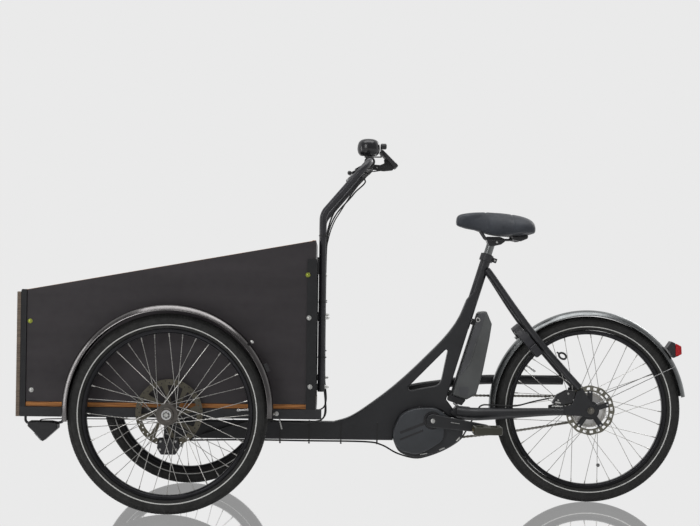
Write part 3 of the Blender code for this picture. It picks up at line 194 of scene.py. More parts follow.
class Look:
    """One procedural material, built from noise, bands and bump in the piece's own space."""

    def __init__(self, name, colour, roughness, metallic=0.0):
        self.material = bpy.data.materials.new(name)
        self.material.use_nodes = True
        self.nodes = self.material.node_tree.nodes
        self.links = self.material.node_tree.links
        self.shader = self.nodes["Principled BSDF"]
        self.shader.inputs["Base Color"].default_value = (*colour, 1)
        self.shader.inputs["Roughness"].default_value = roughness
        self.shader.inputs["Metallic"].default_value = metallic
        self.place = self.nodes.new("ShaderNodeTexCoord").outputs["Object"]
        self.height = None

    def set(self, **values):
        for name, value in values.items():
            self.shader.inputs[name.replace("_", " ")].default_value = value
        return self

    def stretched(self, stretch):
        mapping = self.nodes.new("ShaderNodeMapping")
        mapping.inputs["Scale"].default_value = stretch
        self.links.new(self.place, mapping.inputs["Vector"])
        return mapping.outputs["Vector"]

    def noise(self, scale, detail=3.0, stretch=(1, 1, 1)):
        texture = self.nodes.new("ShaderNodeTexNoise")
        texture.inputs["Scale"].default_value = scale
        texture.inputs["Detail"].default_value = detail
        self.links.new(self.stretched(stretch), texture.inputs["Vector"])
        return texture.outputs["Fac"]

    def cells(self, scale):
        texture = self.nodes.new("ShaderNodeTexVoronoi")
        texture.inputs["Scale"].default_value = scale
        self.links.new(self.place, texture.inputs["Vector"])
        return texture.outputs["Distance"]

    def bands(self, scale, direction):
        texture = self.nodes.new("ShaderNodeTexWave")
        texture.bands_direction = direction
        texture.inputs["Scale"].default_value = scale
        self.links.new(self.place, texture.inputs["Vector"])
        return texture.outputs["Fac"]

    def tint(self, value, first, second, start=0.3, stop=0.7):
        """Base colour that goes from one colour to another with a pattern."""
        ramp = self.nodes.new("ShaderNodeValToRGB")
        ramp.color_ramp.elements[0].position = start
        ramp.color_ramp.elements[0].color = (*first, 1)
        ramp.color_ramp.elements[1].position = stop
        ramp.color_ramp.elements[1].color = (*second, 1)
        self.links.new(value, ramp.inputs["Fac"])
        self.links.new(ramp.outputs["Color"], self.shader.inputs["Base Color"])
        return self

    def rough(self, value, low, high, start=0.3, stop=0.7):
        mapped = map_range(self.material.node_tree, value, low, high, start, stop)
        self.links.new(mapped, self.shader.inputs["Roughness"])
        return self

    def bump(self, value, depth, strength=1.0):
        node = self.nodes.new("ShaderNodeBump")
        node.inputs["Distance"].default_value = depth
        node.inputs["Strength"].default_value = strength
        self.links.new(value, node.inputs["Height"])
        if self.height:
            self.links.new(self.height, node.inputs["Normal"])
        self.height = node.outputs["Normal"]
        self.links.new(self.height, self.shader.inputs["Normal"])
        return self


def scaled(colour, factor):
    return tuple(channel * factor for channel in colour)


def powder_coat(name, colour, roughness=0.42):
    look = Look(name, colour, roughness)
    look.tint(look.noise(9, 4), scaled(colour, 0.8), scaled(colour, 1.25))
    look.rough(look.noise(35, 4), roughness - 0.07, roughness + 0.09)
    return look.bump(look.noise(1400, 2), 0.00012, 0.5).bump(look.noise(120, 2), 0.0002, 0.2)


def moulded(name, colour, roughness=0.5, grain=900):
    look = Look(name, colour, roughness)
    look.tint(look.noise(14, 3), scaled(colour, 0.85), scaled(colour, 1.2))
    look.rough(look.noise(60, 3), roughness - 0.06, roughness + 0.08)
    return look.bump(look.cells(grain), 0.00010, 0.6)


def rubber(name, colour, dust):
    look = Look(name, colour, 0.78)
    look.tint(look.noise(28, 5), colour, dust, 0.35, 0.75)
    look.rough(look.noise(90, 3), 0.68, 0.88)
    return look.bump(look.noise(700, 3), 0.00015, 0.6)


def metal(name, colour, roughness, brush=(1, 1, 1), scratches=260):
    look = Look(name, colour, roughness, 1.0)
    look.tint(look.noise(18, 4), scaled(colour, 0.82), scaled(colour, 1.08))
    look.rough(look.noise(scratches, 4, brush), roughness * 0.75, roughness * 1.35)
    return look.bump(look.noise(scratches, 3, brush), 0.00006, 0.4)


def plywood_film():
    """Dark phenolic film with a faint wire pattern and the veneer's grain under it."""
    look = Look("plywood_film", (0.025, 0.021, 0.024), 0.5)
    look.tint(look.noise(3.0, 6, (1.0, 1.0, 6.0)), (0.020, 0.0160, 0.0188), (0.031, 0.0255, 0.0292))
    look.rough(look.noise(40, 4), 0.42, 0.60)
    look.bump(look.bands(90, "X"), 0.00010, 0.25).bump(look.bands(90, "Z"), 0.00010, 0.25)
    return look.bump(look.noise(60, 4, (0.4, 1, 3)), 0.0002, 0.15)


def plywood_edge(name, dark, light):
    """Cut edge of plywood: warm veneers with darker glue lines, oiled."""
    look = Look(name, light, 0.55)
    look.tint(look.noise(90, 5, (0.15, 0.15, 5.0)), dark, light, 0.32, 0.66)
    look.rough(look.noise(200, 3), 0.45, 0.68)
    return look.bump(look.noise(400, 3, (0.2, 0.2, 4)), 0.0003, 0.5)


def saddle_skin():
    look = Look("saddle_skin", (0.034, 0.037, 0.048), 0.58)
    look.tint(look.noise(16, 4), (0.015, 0.018, 0.025), (0.025, 0.030, 0.040))
    look.rough(look.noise(120, 3), 0.50, 0.66)
    look.set(Sheen_Weight=0.12, Sheen_Roughness=0.5)
    return look.bump(look.cells(620), 0.00022, 0.7).bump(look.noise(70, 3), 0.0004, 0.25)


def lens(name, colour, transmission):
    look = Look(name, colour, 0.08)
    look.set(Transmission_Weight=transmission, IOR=1.49)
    look.rough(look.noise(120, 2), 0.05, 0.14)
    return look.bump(look.bands(260, "Z"), 0.0003, 0.4)


def zinc(name, first, second):
    look = Look(name, first, 0.32, 0.9)
    look.tint(look.noise(300, 3), first, second)
    return look.rough(look.noise(200, 3), 0.25, 0.42)


def make_looks():
    looks = {
        "frame": powder_coat("frame_coat", (0.016, 0.0165, 0.019)),
        "bar": powder_coat("bar_coat", (0.017, 0.0168, 0.021), 0.36),
        "post_coat": powder_coat("post_coat", (0.0045, 0.0048, 0.0065), 0.55),
        "film": plywood_film(),
        "ply_edge": plywood_edge("plywood_edge", (0.20, 0.070, 0.012), (0.50, 0.20, 0.045)),
        "ply_dusty": plywood_edge("plywood_dusty", (0.085, 0.062, 0.045), (0.20, 0.15, 0.11)),
        "tyre": rubber("tyre_rubber", (0.012, 0.012, 0.0115), (0.023, 0.023, 0.022)),
        "stripe": Look("reflex_stripe", (0.62, 0.62, 0.60), 0.45),
        "rim": metal("rim_anodised", (0.035, 0.035, 0.038), 0.34),
        "spoke": metal("spoke_steel", (0.50, 0.49, 0.47), 0.30),
        "hub": metal("hub_alloy", (0.66, 0.65, 0.64), 0.36),
        "hub_front": metal("hub_front_alloy", (0.13, 0.12, 0.11), 0.40),
        "rotor": metal("rotor_steel", (0.13, 0.12, 0.095), 0.42, (1, 1, 1), 400),
        "rotor_bright": metal("rotor_bright", (0.22, 0.21, 0.175), 0.36),
        # Both mudguard metals get a dim colour, far below bare aluminium: painted shade that stands in for
        # the darker room and lamps they reflect; their roughness and brushing are the real finish.
        "polished": metal("guard_polished_painted_shade", (0.15, 0.143, 0.143), 0.20, (1, 12, 1), 60),
        "guard_satin": metal("guard_satin", (0.195, 0.203, 0.205), 0.28, (1, 12, 1), 60),
        "wire": metal("guard_wire", (0.24, 0.24, 0.24), 0.34),
        "steel": metal("bright_steel", (0.60, 0.60, 0.60), 0.26),
        "chain": metal("chain_steel", (0.20, 0.19, 0.17), 0.36),
        "plastic": moulded("black_plastic", (0.018, 0.018, 0.020), 0.46),
        "gloss": moulded("gloss_plastic", (0.014, 0.014, 0.016), 0.22, 200),
        "motor": moulded("motor_shell", (0.042, 0.046, 0.052), 0.42, 1100),
        "motor_dark": moulded("motor_housing_coat", (0.022, 0.023, 0.026), 0.5, 1100),
        "battery": moulded("battery_shell", (0.080, 0.084, 0.084), 0.42, 1200),
        "battery_dark": moulded("battery_front", (0.068, 0.070, 0.075), 0.46, 1200),
        "grip": rubber("grip_rubber", (0.017, 0.017, 0.018), (0.026, 0.026, 0.027)),
        "hose": rubber("hose_sleeve", (0.014, 0.014, 0.015), (0.022, 0.022, 0.022)),
        "saddle": saddle_skin(),
        "red": lens("red_lens", (0.55, 0.012, 0.018), 0.25),
        "clear": lens("clear_lens", (0.92, 0.94, 0.95), 0.9),
        "reflector": metal("reflector_chrome", (0.85, 0.85, 0.86), 0.10),
        "yellow_zinc": zinc("yellow_zinc", (0.30, 0.36, 0.05), (0.42, 0.45, 0.10)),
        "zinc": zinc("silver_zinc", (0.48, 0.48, 0.47), (0.60, 0.60, 0.58)),
        "screen": moulded("display_glass", (0.008, 0.009, 0.011), 0.10, 60),
        "tie": moulded("cable_tie", (0.012, 0.012, 0.012), 0.5, 500),
        "lock_black": moulded("lock_case", (0.020, 0.020, 0.024), 0.40, 900),
        "post": metal("post_anodised", (0.16, 0.165, 0.165), 0.30),
        "amber": lens("amber_lens", (0.22, 0.16, 0.05), 0.2),
        "pedal": moulded("pedal_cage", (0.036, 0.035, 0.024), 0.40, 700),
    }
    stripe = looks["stripe"]
    stripe.rough(stripe.noise(300, 2), 0.38, 0.52)
    stripe.tint(stripe.noise(160, 2), (0.52, 0.52, 0.50), (0.68, 0.68, 0.66))
    return {name: look.material for name, look in looks.items()}


LOOKS = make_looks()


# ---------------------------------------------------------------- shapes

# half the angle at a corner that is left as it is, and how much of a side a rounding may take
NEARLY_STRAIGHT = math.radians(86)
SIDE_SHARE = 0.45


def move(shape, *offset):
    bmesh.ops.translate(shape, vec=Vector(offset), verts=shape.verts)
    return shape


def transform(shape, matrix):
    bmesh.ops.transform(shape, matrix=matrix, verts=shape.verts)
    return shape


def turn(shape, degrees, axis, about=(0, 0, 0)):
    about = Matrix.Translation(about)
    return transform(shape, about @ Matrix.Rotation(math.radians(degrees), 4, axis) @ about.inverted())


def paint(shape, index):
    for face in shape.faces:
        face.material_index = index
    return shape


def merge(*shapes):
    """Several shapes as one, their materials kept."""
    whole = shapes[0]
    for other in shapes[1:]:
        mesh = bpy.data.meshes.new("passing")
        other.to_mesh(mesh)
        other.free()
        whole.from_mesh(mesh)
        bpy.data.meshes.remove(mesh)
    return whole


def span(side, inner, outer):
    """The Y of a part's two faces on one side of the trike, the lower first."""
    return sorted((side * inner, side * outer))


def polar(radius, degrees, centre=(0, 0)):
    angle = math.radians(degrees)
    return centre[0] + radius * math.cos(angle), centre[1] + radius * math.sin(angle)


def rectangle(x_low, x_high, y_low, y_high):
    return [(x_low, y_low), (x_high, y_low), (x_high, y_high), (x_low, y_high)]


def arc(centre, radius, start, end, steps):
    """Points along an arc in a plane, angles in degrees."""
    return [polar(radius, start + (end - start) * step / steps, centre) for step in range(steps + 1)]


def circle(centre, radius, steps=24):
    return arc(centre, radius, 0, 360, steps)[:-1]


def sector(inner, outer, start, end, steps, centre=(0, 0), twist=0.0):
    return arc(centre, outer, start + twist, end + twist, steps) + arc(centre, inner, end, start, steps)


def spline(points, steps):
    """Catmull-Rom curve points from the second point to the last but one, in any dimensions."""
    result = []
    for a, b, c, d in zip(points, points[1:], points[2:], points[3:]):
        for step in range(steps):
            t = step / steps
            result.append(tuple(
                0.5 * (2 * q + (r - p) * t + (2 * p - 5 * q + 4 * r - s) * t * t
                       + (3 * q - p - 3 * r + s) * t ** 3)
                for p, q, r, s in zip(a, b, c, d)))
    return result


def smooth(points, steps=6):
    """A curve through the points."""
    return spline([points[0], *points, points[-1]], steps) + [tuple(points[-1])]


def smooth_loop(points, steps=2):
    """A closed outline with its corners eased."""
    return spline([points[-1], *points, points[0], points[1]], steps)


def corner_arc(corner, back, ahead, radius, reach, steps):
    """Points of the arc that rounds a corner between two directions."""
    centre = corner + (back + ahead).normalized() * radius / math.sin(back.angle(ahead) / 2)
    start = (corner + back * reach - centre).normalized()
    end = (corner + ahead * reach - centre).normalized()
    return [centre + start.slerp(end, step / steps) * radius for step in range(steps + 1)]


def rounded(points, radius, steps=8):
    """A path of straight runs with its inner corners rounded."""
    points = [Vector(point) for point in points]
    result = [points[0]]
    for before, corner, after in zip(points, points[1:], points[2:]):
        back = (before - corner).normalized()
        ahead = (after - corner).normalized()
        reach = radius / math.tan(back.angle(ahead) / 2)
        result += corner_arc(corner, back, ahead, radius, reach, steps)
    result.append(points[-1])
    return result


def rounded_outline(points, radius, steps=4):
    """A closed flat outline with every corner rounded."""
    result = []
    count = len(points)
    for index in range(count):
        before, corner, after = (Vector((*points[(index + k) % count][:2], 0)) for k in (-1, 0, 1))
        back = before - corner
        ahead = after - corner
        half = back.angle(ahead) / 2
        if half > NEARLY_STRAIGHT:
            result.append((corner.x, corner.y))
            continue
        reach = min(radius / math.tan(half), SIDE_SHARE * back.length, SIDE_SHARE * ahead.length)
        fitted = reach * math.tan(half)
        back.normalize()
        ahead.normalize()
        result += [(x, y) for x, y, z in corner_arc(corner, back, ahead, fitted, reach, steps)]
    return result


def lathe(profile, steps=64, start=0.0, end=360.0, closed=True):
    """A profile of (radius, y) turned about Y."""
    shape = bmesh.new()
    full = end - start >= 360
    rows = []
    for step in range(steps if full else steps + 1):
        angle = math.radians(start + (end - start) * step / steps)
        rows.append([shape.verts.new((r * math.cos(angle), y, r * math.sin(angle))) for r, y in profile])
    count = len(profile) if closed else len(profile) - 1
    for row, following in zip(rows, rows[1:] + ([rows[0]] if full else [])):
        for index in range(count):
            other = (index + 1) % len(profile)
            shape.faces.new((row[index], row[other], following[other], following[index]))
    if closed and not full:
        shape.faces.new(rows[0])
        shape.faces.new(rows[-1][::-1])
    bmesh.ops.remove_doubles(shape, verts=shape.verts, dist=0.000001)
    bmesh.ops.recalc_face_normals(shape, faces=shape.faces)
    return shape


def pipe(points, radius, sides=14, swell=None):
    """A round bar swept through the points, with closed ends; swell scales it along the way."""
    points = [Vector(point) for point in points]
    shape = bmesh.new()
    aheads = []
    for index, point in enumerate(points):
        before = points[max(index - 1, 0)]
        after = points[min(index + 1, len(points) - 1)]
        aheads.append((after - before).normalized())
    side = aheads[0].orthogonal().normalized()
    rows = []
    for index, (point, ahead) in enumerate(zip(points, aheads)):
        if index:
            side = aheads[index - 1].rotation_difference(ahead) @ side
        side = (side - ahead * side.dot(ahead)).normalized()
        up = ahead.cross(side)
        size = radius * (swell[index] if swell else 1.0)
        ring = []
        for corner in range(sides):
            angle = 2 * math.pi * corner / sides
            ring.append(shape.verts.new(point + (side * math.cos(angle) + up * math.sin(angle)) * size))
        rows.append(ring)
    for row, following in zip(rows, rows[1:]):
        for corner in range(sides):
            other = (corner + 1) % sides
            shape.faces.new((row[corner], row[other], following[other], following[corner]))
    shape.faces.new(rows[0][::-1])
    shape.faces.new(rows[-1])
    bmesh.ops.recalc_face_normals(shape, faces=shape.faces)
    return shape


def rod(start, end, radius, sides=20, chamfer=0.0):
    """A straight bar; a chamfer softens both its ends."""
    start, end = Vector(start), Vector(end)
    if not chamfer:
        return pipe([start, end], radius, sides)
    along = (end - start).normalized() * chamfer
    inset = 1 - chamfer / radius
    return pipe([start, start + along, end - along, end], radius, sides, [inset, 1, 1, inset])


def plate(loops, low, high, bevel=0.0, rounds=2, lying=False):
    """An outline with holes in X and Z, thick along Y, or lying in X and Y and thick along Z."""
    curve = bpy.data.curves.new("outline", "CURVE")
    curve.dimensions = "2D"
    curve.fill_mode = "BOTH"
    curve.extrude = (high - low) / 2 - bevel
    curve.bevel_depth = bevel
    curve.bevel_resolution = rounds
    curve.offset = -bevel
    for loop in loops:
        spline = curve.splines.new("POLY")
        spline.points.add(len(loop) - 1)
        spline.use_cyclic_u = True
        for point, place in zip(spline.points, loop):
            point.co = (place[0], place[1], 0.0, 1.0)
    source = bpy.data.objects.new("outline", curve)
    bpy.context.scene.collection.objects.link(source)
    bpy.context.view_layer.update()
    mesh = bpy.data.meshes.new_from_object(source.evaluated_get(bpy.context.evaluated_depsgraph_get()))
    shape = bmesh.new()
    shape.from_mesh(mesh)
    bpy.data.objects.remove(source, do_unlink=True)
    bpy.data.curves.remove(curve)
    bpy.data.meshes.remove(mesh)
    bmesh.ops.remove_doubles(shape, verts=shape.verts, dist=0.00001)
    middle = (low + high) / 2
    if lying:
        return move(shape, 0, 0, middle)
    return move(turn(shape, 90, "X"), 0, middle, 0)


def brick(low, high, bevel=0.0008, segments=2):
    shape = bmesh.new()
    bmesh.ops.create_cube(shape, size=1.0)
    bmesh.ops.scale(shape, vec=[top - bottom for bottom, top in zip(low, high)], verts=shape.verts)
    bmesh.ops.translate(shape, vec=[(top + bottom) / 2 for bottom, top in zip(low, high)],
                        verts=shape.verts)
    if bevel:
        bmesh.ops.bevel(shape, geom=shape.edges[:], offset=bevel, segments=segments, profile=0.5,
                        affect="EDGES")
    return shape


def ball(centre, radius, sides=20):
    shape = bmesh.new()
    bmesh.ops.create_uvsphere(shape, u_segments=sides, v_segments=sides // 2, radius=radius)
    return move(shape, *centre)


def softened(node, width=0.0008, segments=2, angle=30):
    """A CAD node's own shape with its sharp edges rounded."""
    shape = bmesh.new()
    shape.from_mesh(frame["nodes"][node].data)
    bmesh.ops.remove_doubles(shape, verts=shape.verts, dist=0.00001)
    bmesh.ops.dissolve_limit(shape, angle_limit=math.radians(1.0), verts=shape.verts, edges=shape.edges)
    sharp = [edge for edge in shape.edges
             if len(edge.link_faces) == 2 and edge.calc_face_angle() > math.radians(angle)]
    bmesh.ops.bevel(shape, geom=sharp, offset=width, segments=segments, profile=0.5, affect="EDGES",
                    clamp_overlap=True)
    return move(shape, *-AXIS)


def facing(place, direction):
    """A matrix that takes +Z to a direction, at a place."""
    turned = Vector((0, 0, 1)).rotation_difference(Vector(direction)).to_matrix().to_4x4()
    return Matrix.Translation(place) @ turned


def bolt(place, direction, radius=0.0045, height=0.003, washer=True):
    """A round-headed socket bolt with its washer, standing on a face."""
    head = lathe([(0, height), (radius * 0.45, height), (radius * 0.42, height * 0.45), (0, height * 0.45)],
                 12, closed=False)
    dome = lathe([(radius * 0.45, height), (radius * 0.80, height * 0.85), (radius, height * 0.35),
                  (radius, 0)], 24, closed=False)
    shapes = [head, dome]
    if washer:
        shapes.append(lathe([(radius * 0.9, 0.0010), (radius * 1.5, 0.0010), (radius * 1.6, 0.0004),
                             (radius * 1.6, 0)], 24, closed=False))
    return transform(turn(merge(*shapes), 90, "X"), facing(place, direction))


def hex_nut(place, direction, radius, height):
    outline = [(0, 0), (radius * 0.92, 0), (radius, height * 0.15), (radius, height * 0.85),
               (radius * 0.92, height), (0, height)]
    nut = turn(lathe(outline, 6, closed=False), 90, "X")
    return transform(nut, facing(place, direction))


def piece(name, shape, looks, body, slot, *nodes, sharp=32):
    """A finished mesh on its body. looks names its materials, nodes what it stands for."""
    move(shape, *AXIS)
    mesh = bpy.data.meshes.new(name)
    shape.to_mesh(mesh)
    shape.free()
    for look in ([looks] if isinstance(looks, str) else looks):
        mesh.materials.append(LOOKS[look])
    mesh.shade_smooth()
    mesh.set_sharp_from_angle(angle=math.radians(sharp))
    item = bpy.data.objects.new(name, mesh)
    bpy.context.scene.collection.objects.link(item)
    weighted = item.modifiers.new("shading", "WEIGHTED_NORMAL")
    weighted.keep_sharp = True
    if body:
        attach(item, body)
    if nodes:
        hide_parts(*nodes)
    return item


# ---------------------------------------------------------------- wheels

TYRE_OUTER = 0.3008
TYRE_SECTION = 0.0233
TREAD_DEPTH = 0.0013
RIM_OUTER = 0.2540
RIM_INNER = 0.2420
RIM_HALF = 0.0138
SPOKES = 36
SPOKE_OFFSET = 0.0016
SPOKE_RADIUS = 0.0010
NIPPLE_RADIUS = 0.0019
FRONT_ROTOR_INBOARD = 0.040
REAR_ROTOR_Y = -0.055
REAR_SPOKE_PHASE = 8.2
FRONT_VALVE_ANGLE = 3.7
REAR_VALVE_ANGLE = 145.0
TREAD_LEAN = 62
STRIPE_LEAN = (108, 117)
MAGNET_X, MAGNET_Z = 1.3565, 0.1207


def tyre_shape():
    """Rounded carcass with a pale side stripe and raised tread blocks."""
    centre = TYRE_OUTER - TREAD_DEPTH - TYRE_SECTION
    angles = [-150, -140, -130, -122, -116.5, -108.5, -98, -86, -74, -62, -52, -42, -31, -19, -7,
              7, 19, 31, 42, 52, 62, 74, 86, 98, 108.5, 116.5, 122, 130, 140, 150]
    shape = lathe([polar(TYRE_SECTION, degrees, (centre, 0)) for degrees in angles], 192)
    tread = []
    for face in shape.faces:
        middle = face.calc_center_median()
        radius = math.hypot(middle.x, middle.z)
        lean = abs(math.degrees(math.atan2(middle.y, radius - centre)))
        if lean < TREAD_LEAN:
            tread.append(face)
        elif STRIPE_LEAN[0] < lean < STRIPE_LEAN[1]:
            face.material_index = 1
    bmesh.ops.inset_individual(shape, faces=tread, thickness=0.0011, depth=TREAD_DEPTH)
    return shape


def rim_shape():
    """Double-walled rim with rolled edges and a slim inner wall."""
    half = [(RIM_OUTER, 0.0104), (RIM_OUTER + 0.0012, 0.0120), (RIM_OUTER + 0.0004, RIM_HALF),
            (RIM_OUTER - 0.004, RIM_HALF), (RIM_OUTER - 0.0075, 0.0126), (RIM_INNER + 0.0012, 0.0086),
            (RIM_INNER, 0.0068)]
    profile = half + [(r, -y) for r, y in half[::-1]]
    return lathe(smooth_loop(profile), 180)


def spoke_line(index, flange_radius, flange_y, crosses, phase):
    """Where a spoke starts at its flange and ends at the rim, and which way it leads."""
    pitch = 360 / SPOKES
    side = 1 if index % 2 else -1
    lead = 1 if index // 2 % 2 else -1
    rim_angle = math.radians(index * pitch + phase)
    hub_angle = rim_angle + lead * math.radians(crosses * 2 * pitch)
    start = Vector((flange_radius * math.cos(hub_angle), side * flange_y + lead * SPOKE_OFFSET,
                    flange_radius * math.sin(hub_angle)))
    reach = RIM_INNER + 0.003
    end = Vector((reach * math.cos(rim_angle), side * SPOKE_OFFSET * 2 + lead * SPOKE_OFFSET,
                  reach * math.sin(rim_angle)))
    return start, end, lead


def spokes_shape(flange_radius, flange_y, crosses, phase):
    """Spokes with a hooked head at the flange and a nipple at the rim."""
    parts = []
    for index in range(SPOKES):
        start, end, lead = spoke_line(index, flange_radius, flange_y, crosses, phase)
        along = (end - start).normalized()
        hook = start - Vector((0, lead * 0.0034, 0))
        parts.append(pipe([hook, start - along * 0.0002, start + along * 0.0022, end], SPOKE_RADIUS, 7))
        parts.append(rod(hook + Vector((0, lead * 0.0006, 0)), hook - Vector((0, lead * 0.0008, 0)),
                         NIPPLE_RADIUS, 10))
        parts.append(pipe([end - along * 0.0150, end - along * 0.0140, end - along * 0.0040, end],
                          NIPPLE_RADIUS, 8, [0.72, 1.0, 1.0, 1.25]))
    return merge(*parts)


def valve_shape(angle):
    x, z = polar(1, angle)
    outward = Vector((x, 0, z))
    stops = [(0.243, 0.0042), (0.2385, 0.0042), (0.2380, 0.0030), (0.2190, 0.0029), (0.2185, 0.0038),
             (0.2080, 0.0036), (0.2070, 0.0026)]
    return pipe([outward * reach for reach, size in stops], 1.0, 14, [size for reach, size in stops])


def front_hub_shape():
    """Shell with two spoke flanges and a rotor seat."""
    return lathe([(0.0165, 0.0420), (0.0195, 0.0410), (0.0200, 0.0300), (0.0325, 0.0292), (0.0330, 0.0280),
                   (0.0330, 0.0245), (0.0322, 0.0236), (0.0210, 0.0200), (0.0178, 0.0130), (0.0172, 0.0),
                   (0.0178, -0.0130), (0.0210, -0.0200), (0.0322, -0.0236), (0.0330, -0.0245),
                   (0.0330, -0.0280), (0.0325, -0.0292), (0.0215, -0.0305), (0.0207, -0.0330),
                   (0.0207, -0.0425), (0.0195, -0.0437), (0.0150, -0.0437), (0.0143, -0.0420),
                   (0.0110, -0.0415), (0.0085, -0.0425), (0.0085, 0.0420)], 64)


def rear_hub_shape():
    """Large gear hub shell with its two flanges."""
    return lathe([(0.0125, 0.0640), (0.0125, 0.0570), (0.0176, 0.0565), (0.0176, 0.0430), (0.0300, 0.0405),
                  (0.0555, 0.0345), (0.0570, 0.0330), (0.0570, 0.0275), (0.0560, 0.0262), (0.0515, 0.0235),
                  (0.0500, 0.0180), (0.0494, 0.0), (0.0500, -0.0180), (0.0515, -0.0235),
                  (0.0560, -0.0262), (0.0570, -0.0275), (0.0570, -0.0330), (0.0555, -0.0345),
                  (0.0440, -0.0375), (0.0300, -0.0405), (0.0290, -0.0420), (0.0290, -0.0530),
                  (0.0180, -0.0535), (0.0170, -0.0560), (0.0170, -0.0640), (0.0058, -0.0640),
                  (0.0058, 0.0640)], 72)


def front_rotor_shape():
    """Drilled brake band on a carrier of swept arms, with six bolts."""
    loops = [circle((0, 0), 0.1015, 120), circle((0, 0), 0.0184, 32)]
    for index in range(8):
        start = index * 45
        loops.append(sector(0.0330, 0.0840, start, start + 33, 8, twist=16))
    for index in range(48):
        loops.append(circle(polar((0.0905, 0.0968)[index % 2], index * 7.5), 0.0021, 8))
    disc = plate(loops, -0.0009, 0.0009)
    bolts = []
    for index in range(6):
        x, z = polar(0.0255, index * 60 + 15)
        bolts.append(bolt((x, -0.0009, z), (0, -1, 0), 0.0040, 0.0022, washer=False))
    return merge(disc, *bolts)


def rear_rotor_ring():
    """Waved steel band with slots."""
    outline = []
    for step in range(144):
        degrees = step * 2.5
        outline.append(polar(0.0790 + 0.0010 * math.cos(math.radians(degrees) * 12), degrees))
    loops = [outline, circle((0, 0), 0.0600, 72)]
    for index in range(20):
        start = index * 18
        loops.append(sector(0.0655, 0.0735, start, start + 9, 4))
    return plate(loops, -0.0009, 0.0009)


def rear_rotor_carrier():
    """Black five-armed carrier riveted to the band."""
    outline = []
    for index in range(5):
        middle = 90 + index * 72
        outline += arc((0, 0), 0.0300, middle - 36, middle - 15, 4)
        outline += arc((0, 0), 0.0630, middle - 8, middle + 8, 4)
        outline += arc((0, 0), 0.0300, middle + 15, middle + 36, 4)[:-1]
    carrier = plate([outline, circle((0, 0), 0.0184, 32)], -0.0022, 0.0005, 0.0004)
    rivets = []
    for index in range(5):
        x, z = polar(0.0590, 90 + index * 72)
        rivets.append(bolt((x, -0.0018, z), (0, -1, 0), 0.0036, 0.0007, washer=False))
    return carrier, merge(*rivets)


def at_wheel(shape, centre, mirrored):
    """Put a shape drawn about a wheel's centre at its wheel; the right wheel faces the other way."""
    if mirrored:
        turn(shape, 180, "Z")
    return move(shape, *centre)


def common_wheel(side, body, centre, mirrored, flange, valve):
    """Tyre, rim, spokes and valve; flange is its radius, its Y, the crosses and the spokes' phase."""
    parts = [("carcass", tyre_shape(), ["tyre", "stripe"], "tyre_rubber", [side + "_tyre"]),
             ("rim", rim_shape(), "rim", "wheel_metal", [side + "_wheel"]),
             ("spokes", spokes_shape(*flange), "spoke", "wheel_metal", []),
             ("valve", valve_shape(valve), "steel", "wheel_metal", [])]
    for name, shape, look, slot, nodes in parts:
        piece(side + "_" + name, at_wheel(shape, centre, mirrored), look, body, slot, *nodes)


def front_wheels():
    for side, y, mirrored in (("left", -HALF_TRACK, False), ("right", HALF_TRACK, True)):
        body = side + "_wheel"
        centre = Vector((0, y, AXLE_HEIGHT))
        common_wheel(side, body, centre, mirrored, (0.029, 0.026, 3, 0.0), FRONT_VALVE_ANGLE)
        piece(side + "_hub", at_wheel(front_hub_shape(), centre, mirrored), "hub_front", body, "wheel_metal")
        cap = lathe([(0.0148, -0.0441), (0.0148, -0.0449), (0.0104, -0.0449), (0.0104, -0.0441)], 48)
        piece(side + "_hub_cap", at_wheel(cap, centre, mirrored), "steel", body, "wheel_metal")
        disc = move(front_rotor_shape(), 0, FRONT_ROTOR_INBOARD, 0)
        piece(side + "_disc", at_wheel(disc, centre, mirrored), "rotor", body, "brake_steel",
              side + "_rotor")


def rear_wheel():
    centre = Vector((WHEELBASE, 0, AXLE_HEIGHT))
    magnet = rod((MAGNET_X, -0.0170, MAGNET_Z), (MAGNET_X, -0.0090, MAGNET_Z), 0.0058, 20, 0.001)
    piece("spoke_magnet", magnet, "wire", "rear_wheel", "wheel_metal")
    common_wheel("rear", "rear_wheel", centre, False, (0.054, 0.030, 2, REAR_SPOKE_PHASE),
                 REAR_VALVE_ANGLE)
    piece("rear_hub_shell", move(rear_hub_shape(), *centre), "hub", "rear_wheel", "wheel_metal")
    at_rotor = centre + Vector((0, REAR_ROTOR_Y, 0))
    piece("rear_disc_band", move(rear_rotor_ring(), *at_rotor), "rotor_bright", "rear_wheel",
          "brake_steel", "rear_rotor")
    carrier, rivets = rear_rotor_carrier()
    for name, shape, look in (("rear_disc_carrier", carrier, "frame"), ("rear_disc_rivets", rivets, "steel")):
        piece(name, move(shape, *at_rotor), look, "rear_wheel", "brake_steel")


# ---------------------------------------------------------------- mudguards

FRONT_GUARD_RADIUS = 0.317
FRONT_GUARD_RISE = 0.0125
FRONT_GUARD_DEPTH = 0.0155
REAR_GUARD_RADIUS = 0.3205
REAR_GUARD_DEPTH = 0.0150
GUARD_HALF = 0.0275
GUARD_SHEET = 0.0011


def guard_profile(radius, depth):
    """A crowned sheet with rolled edges, as a closed outline of (radius, y)."""
    top = []
    for step in range(17):
        across = -1 + step / 8
        top.append((radius - depth * across ** 2 * (0.45 + 0.55 * across ** 2), GUARD_HALF * across))
    under = [(r - GUARD_SHEET, y) for r, y in top[::-1]]
    edge = radius - depth
    roll = [(edge - 0.0003, 0.0288), (edge - 0.0017, 0.0292), (edge - 0.0027, 0.0284)]
    return top + roll + under + [(r, -y) for r, y in roll[::-1]]


def guard_shape(radius, depth, start, end):
    return lathe(guard_profile(radius, depth), 120, start, end)


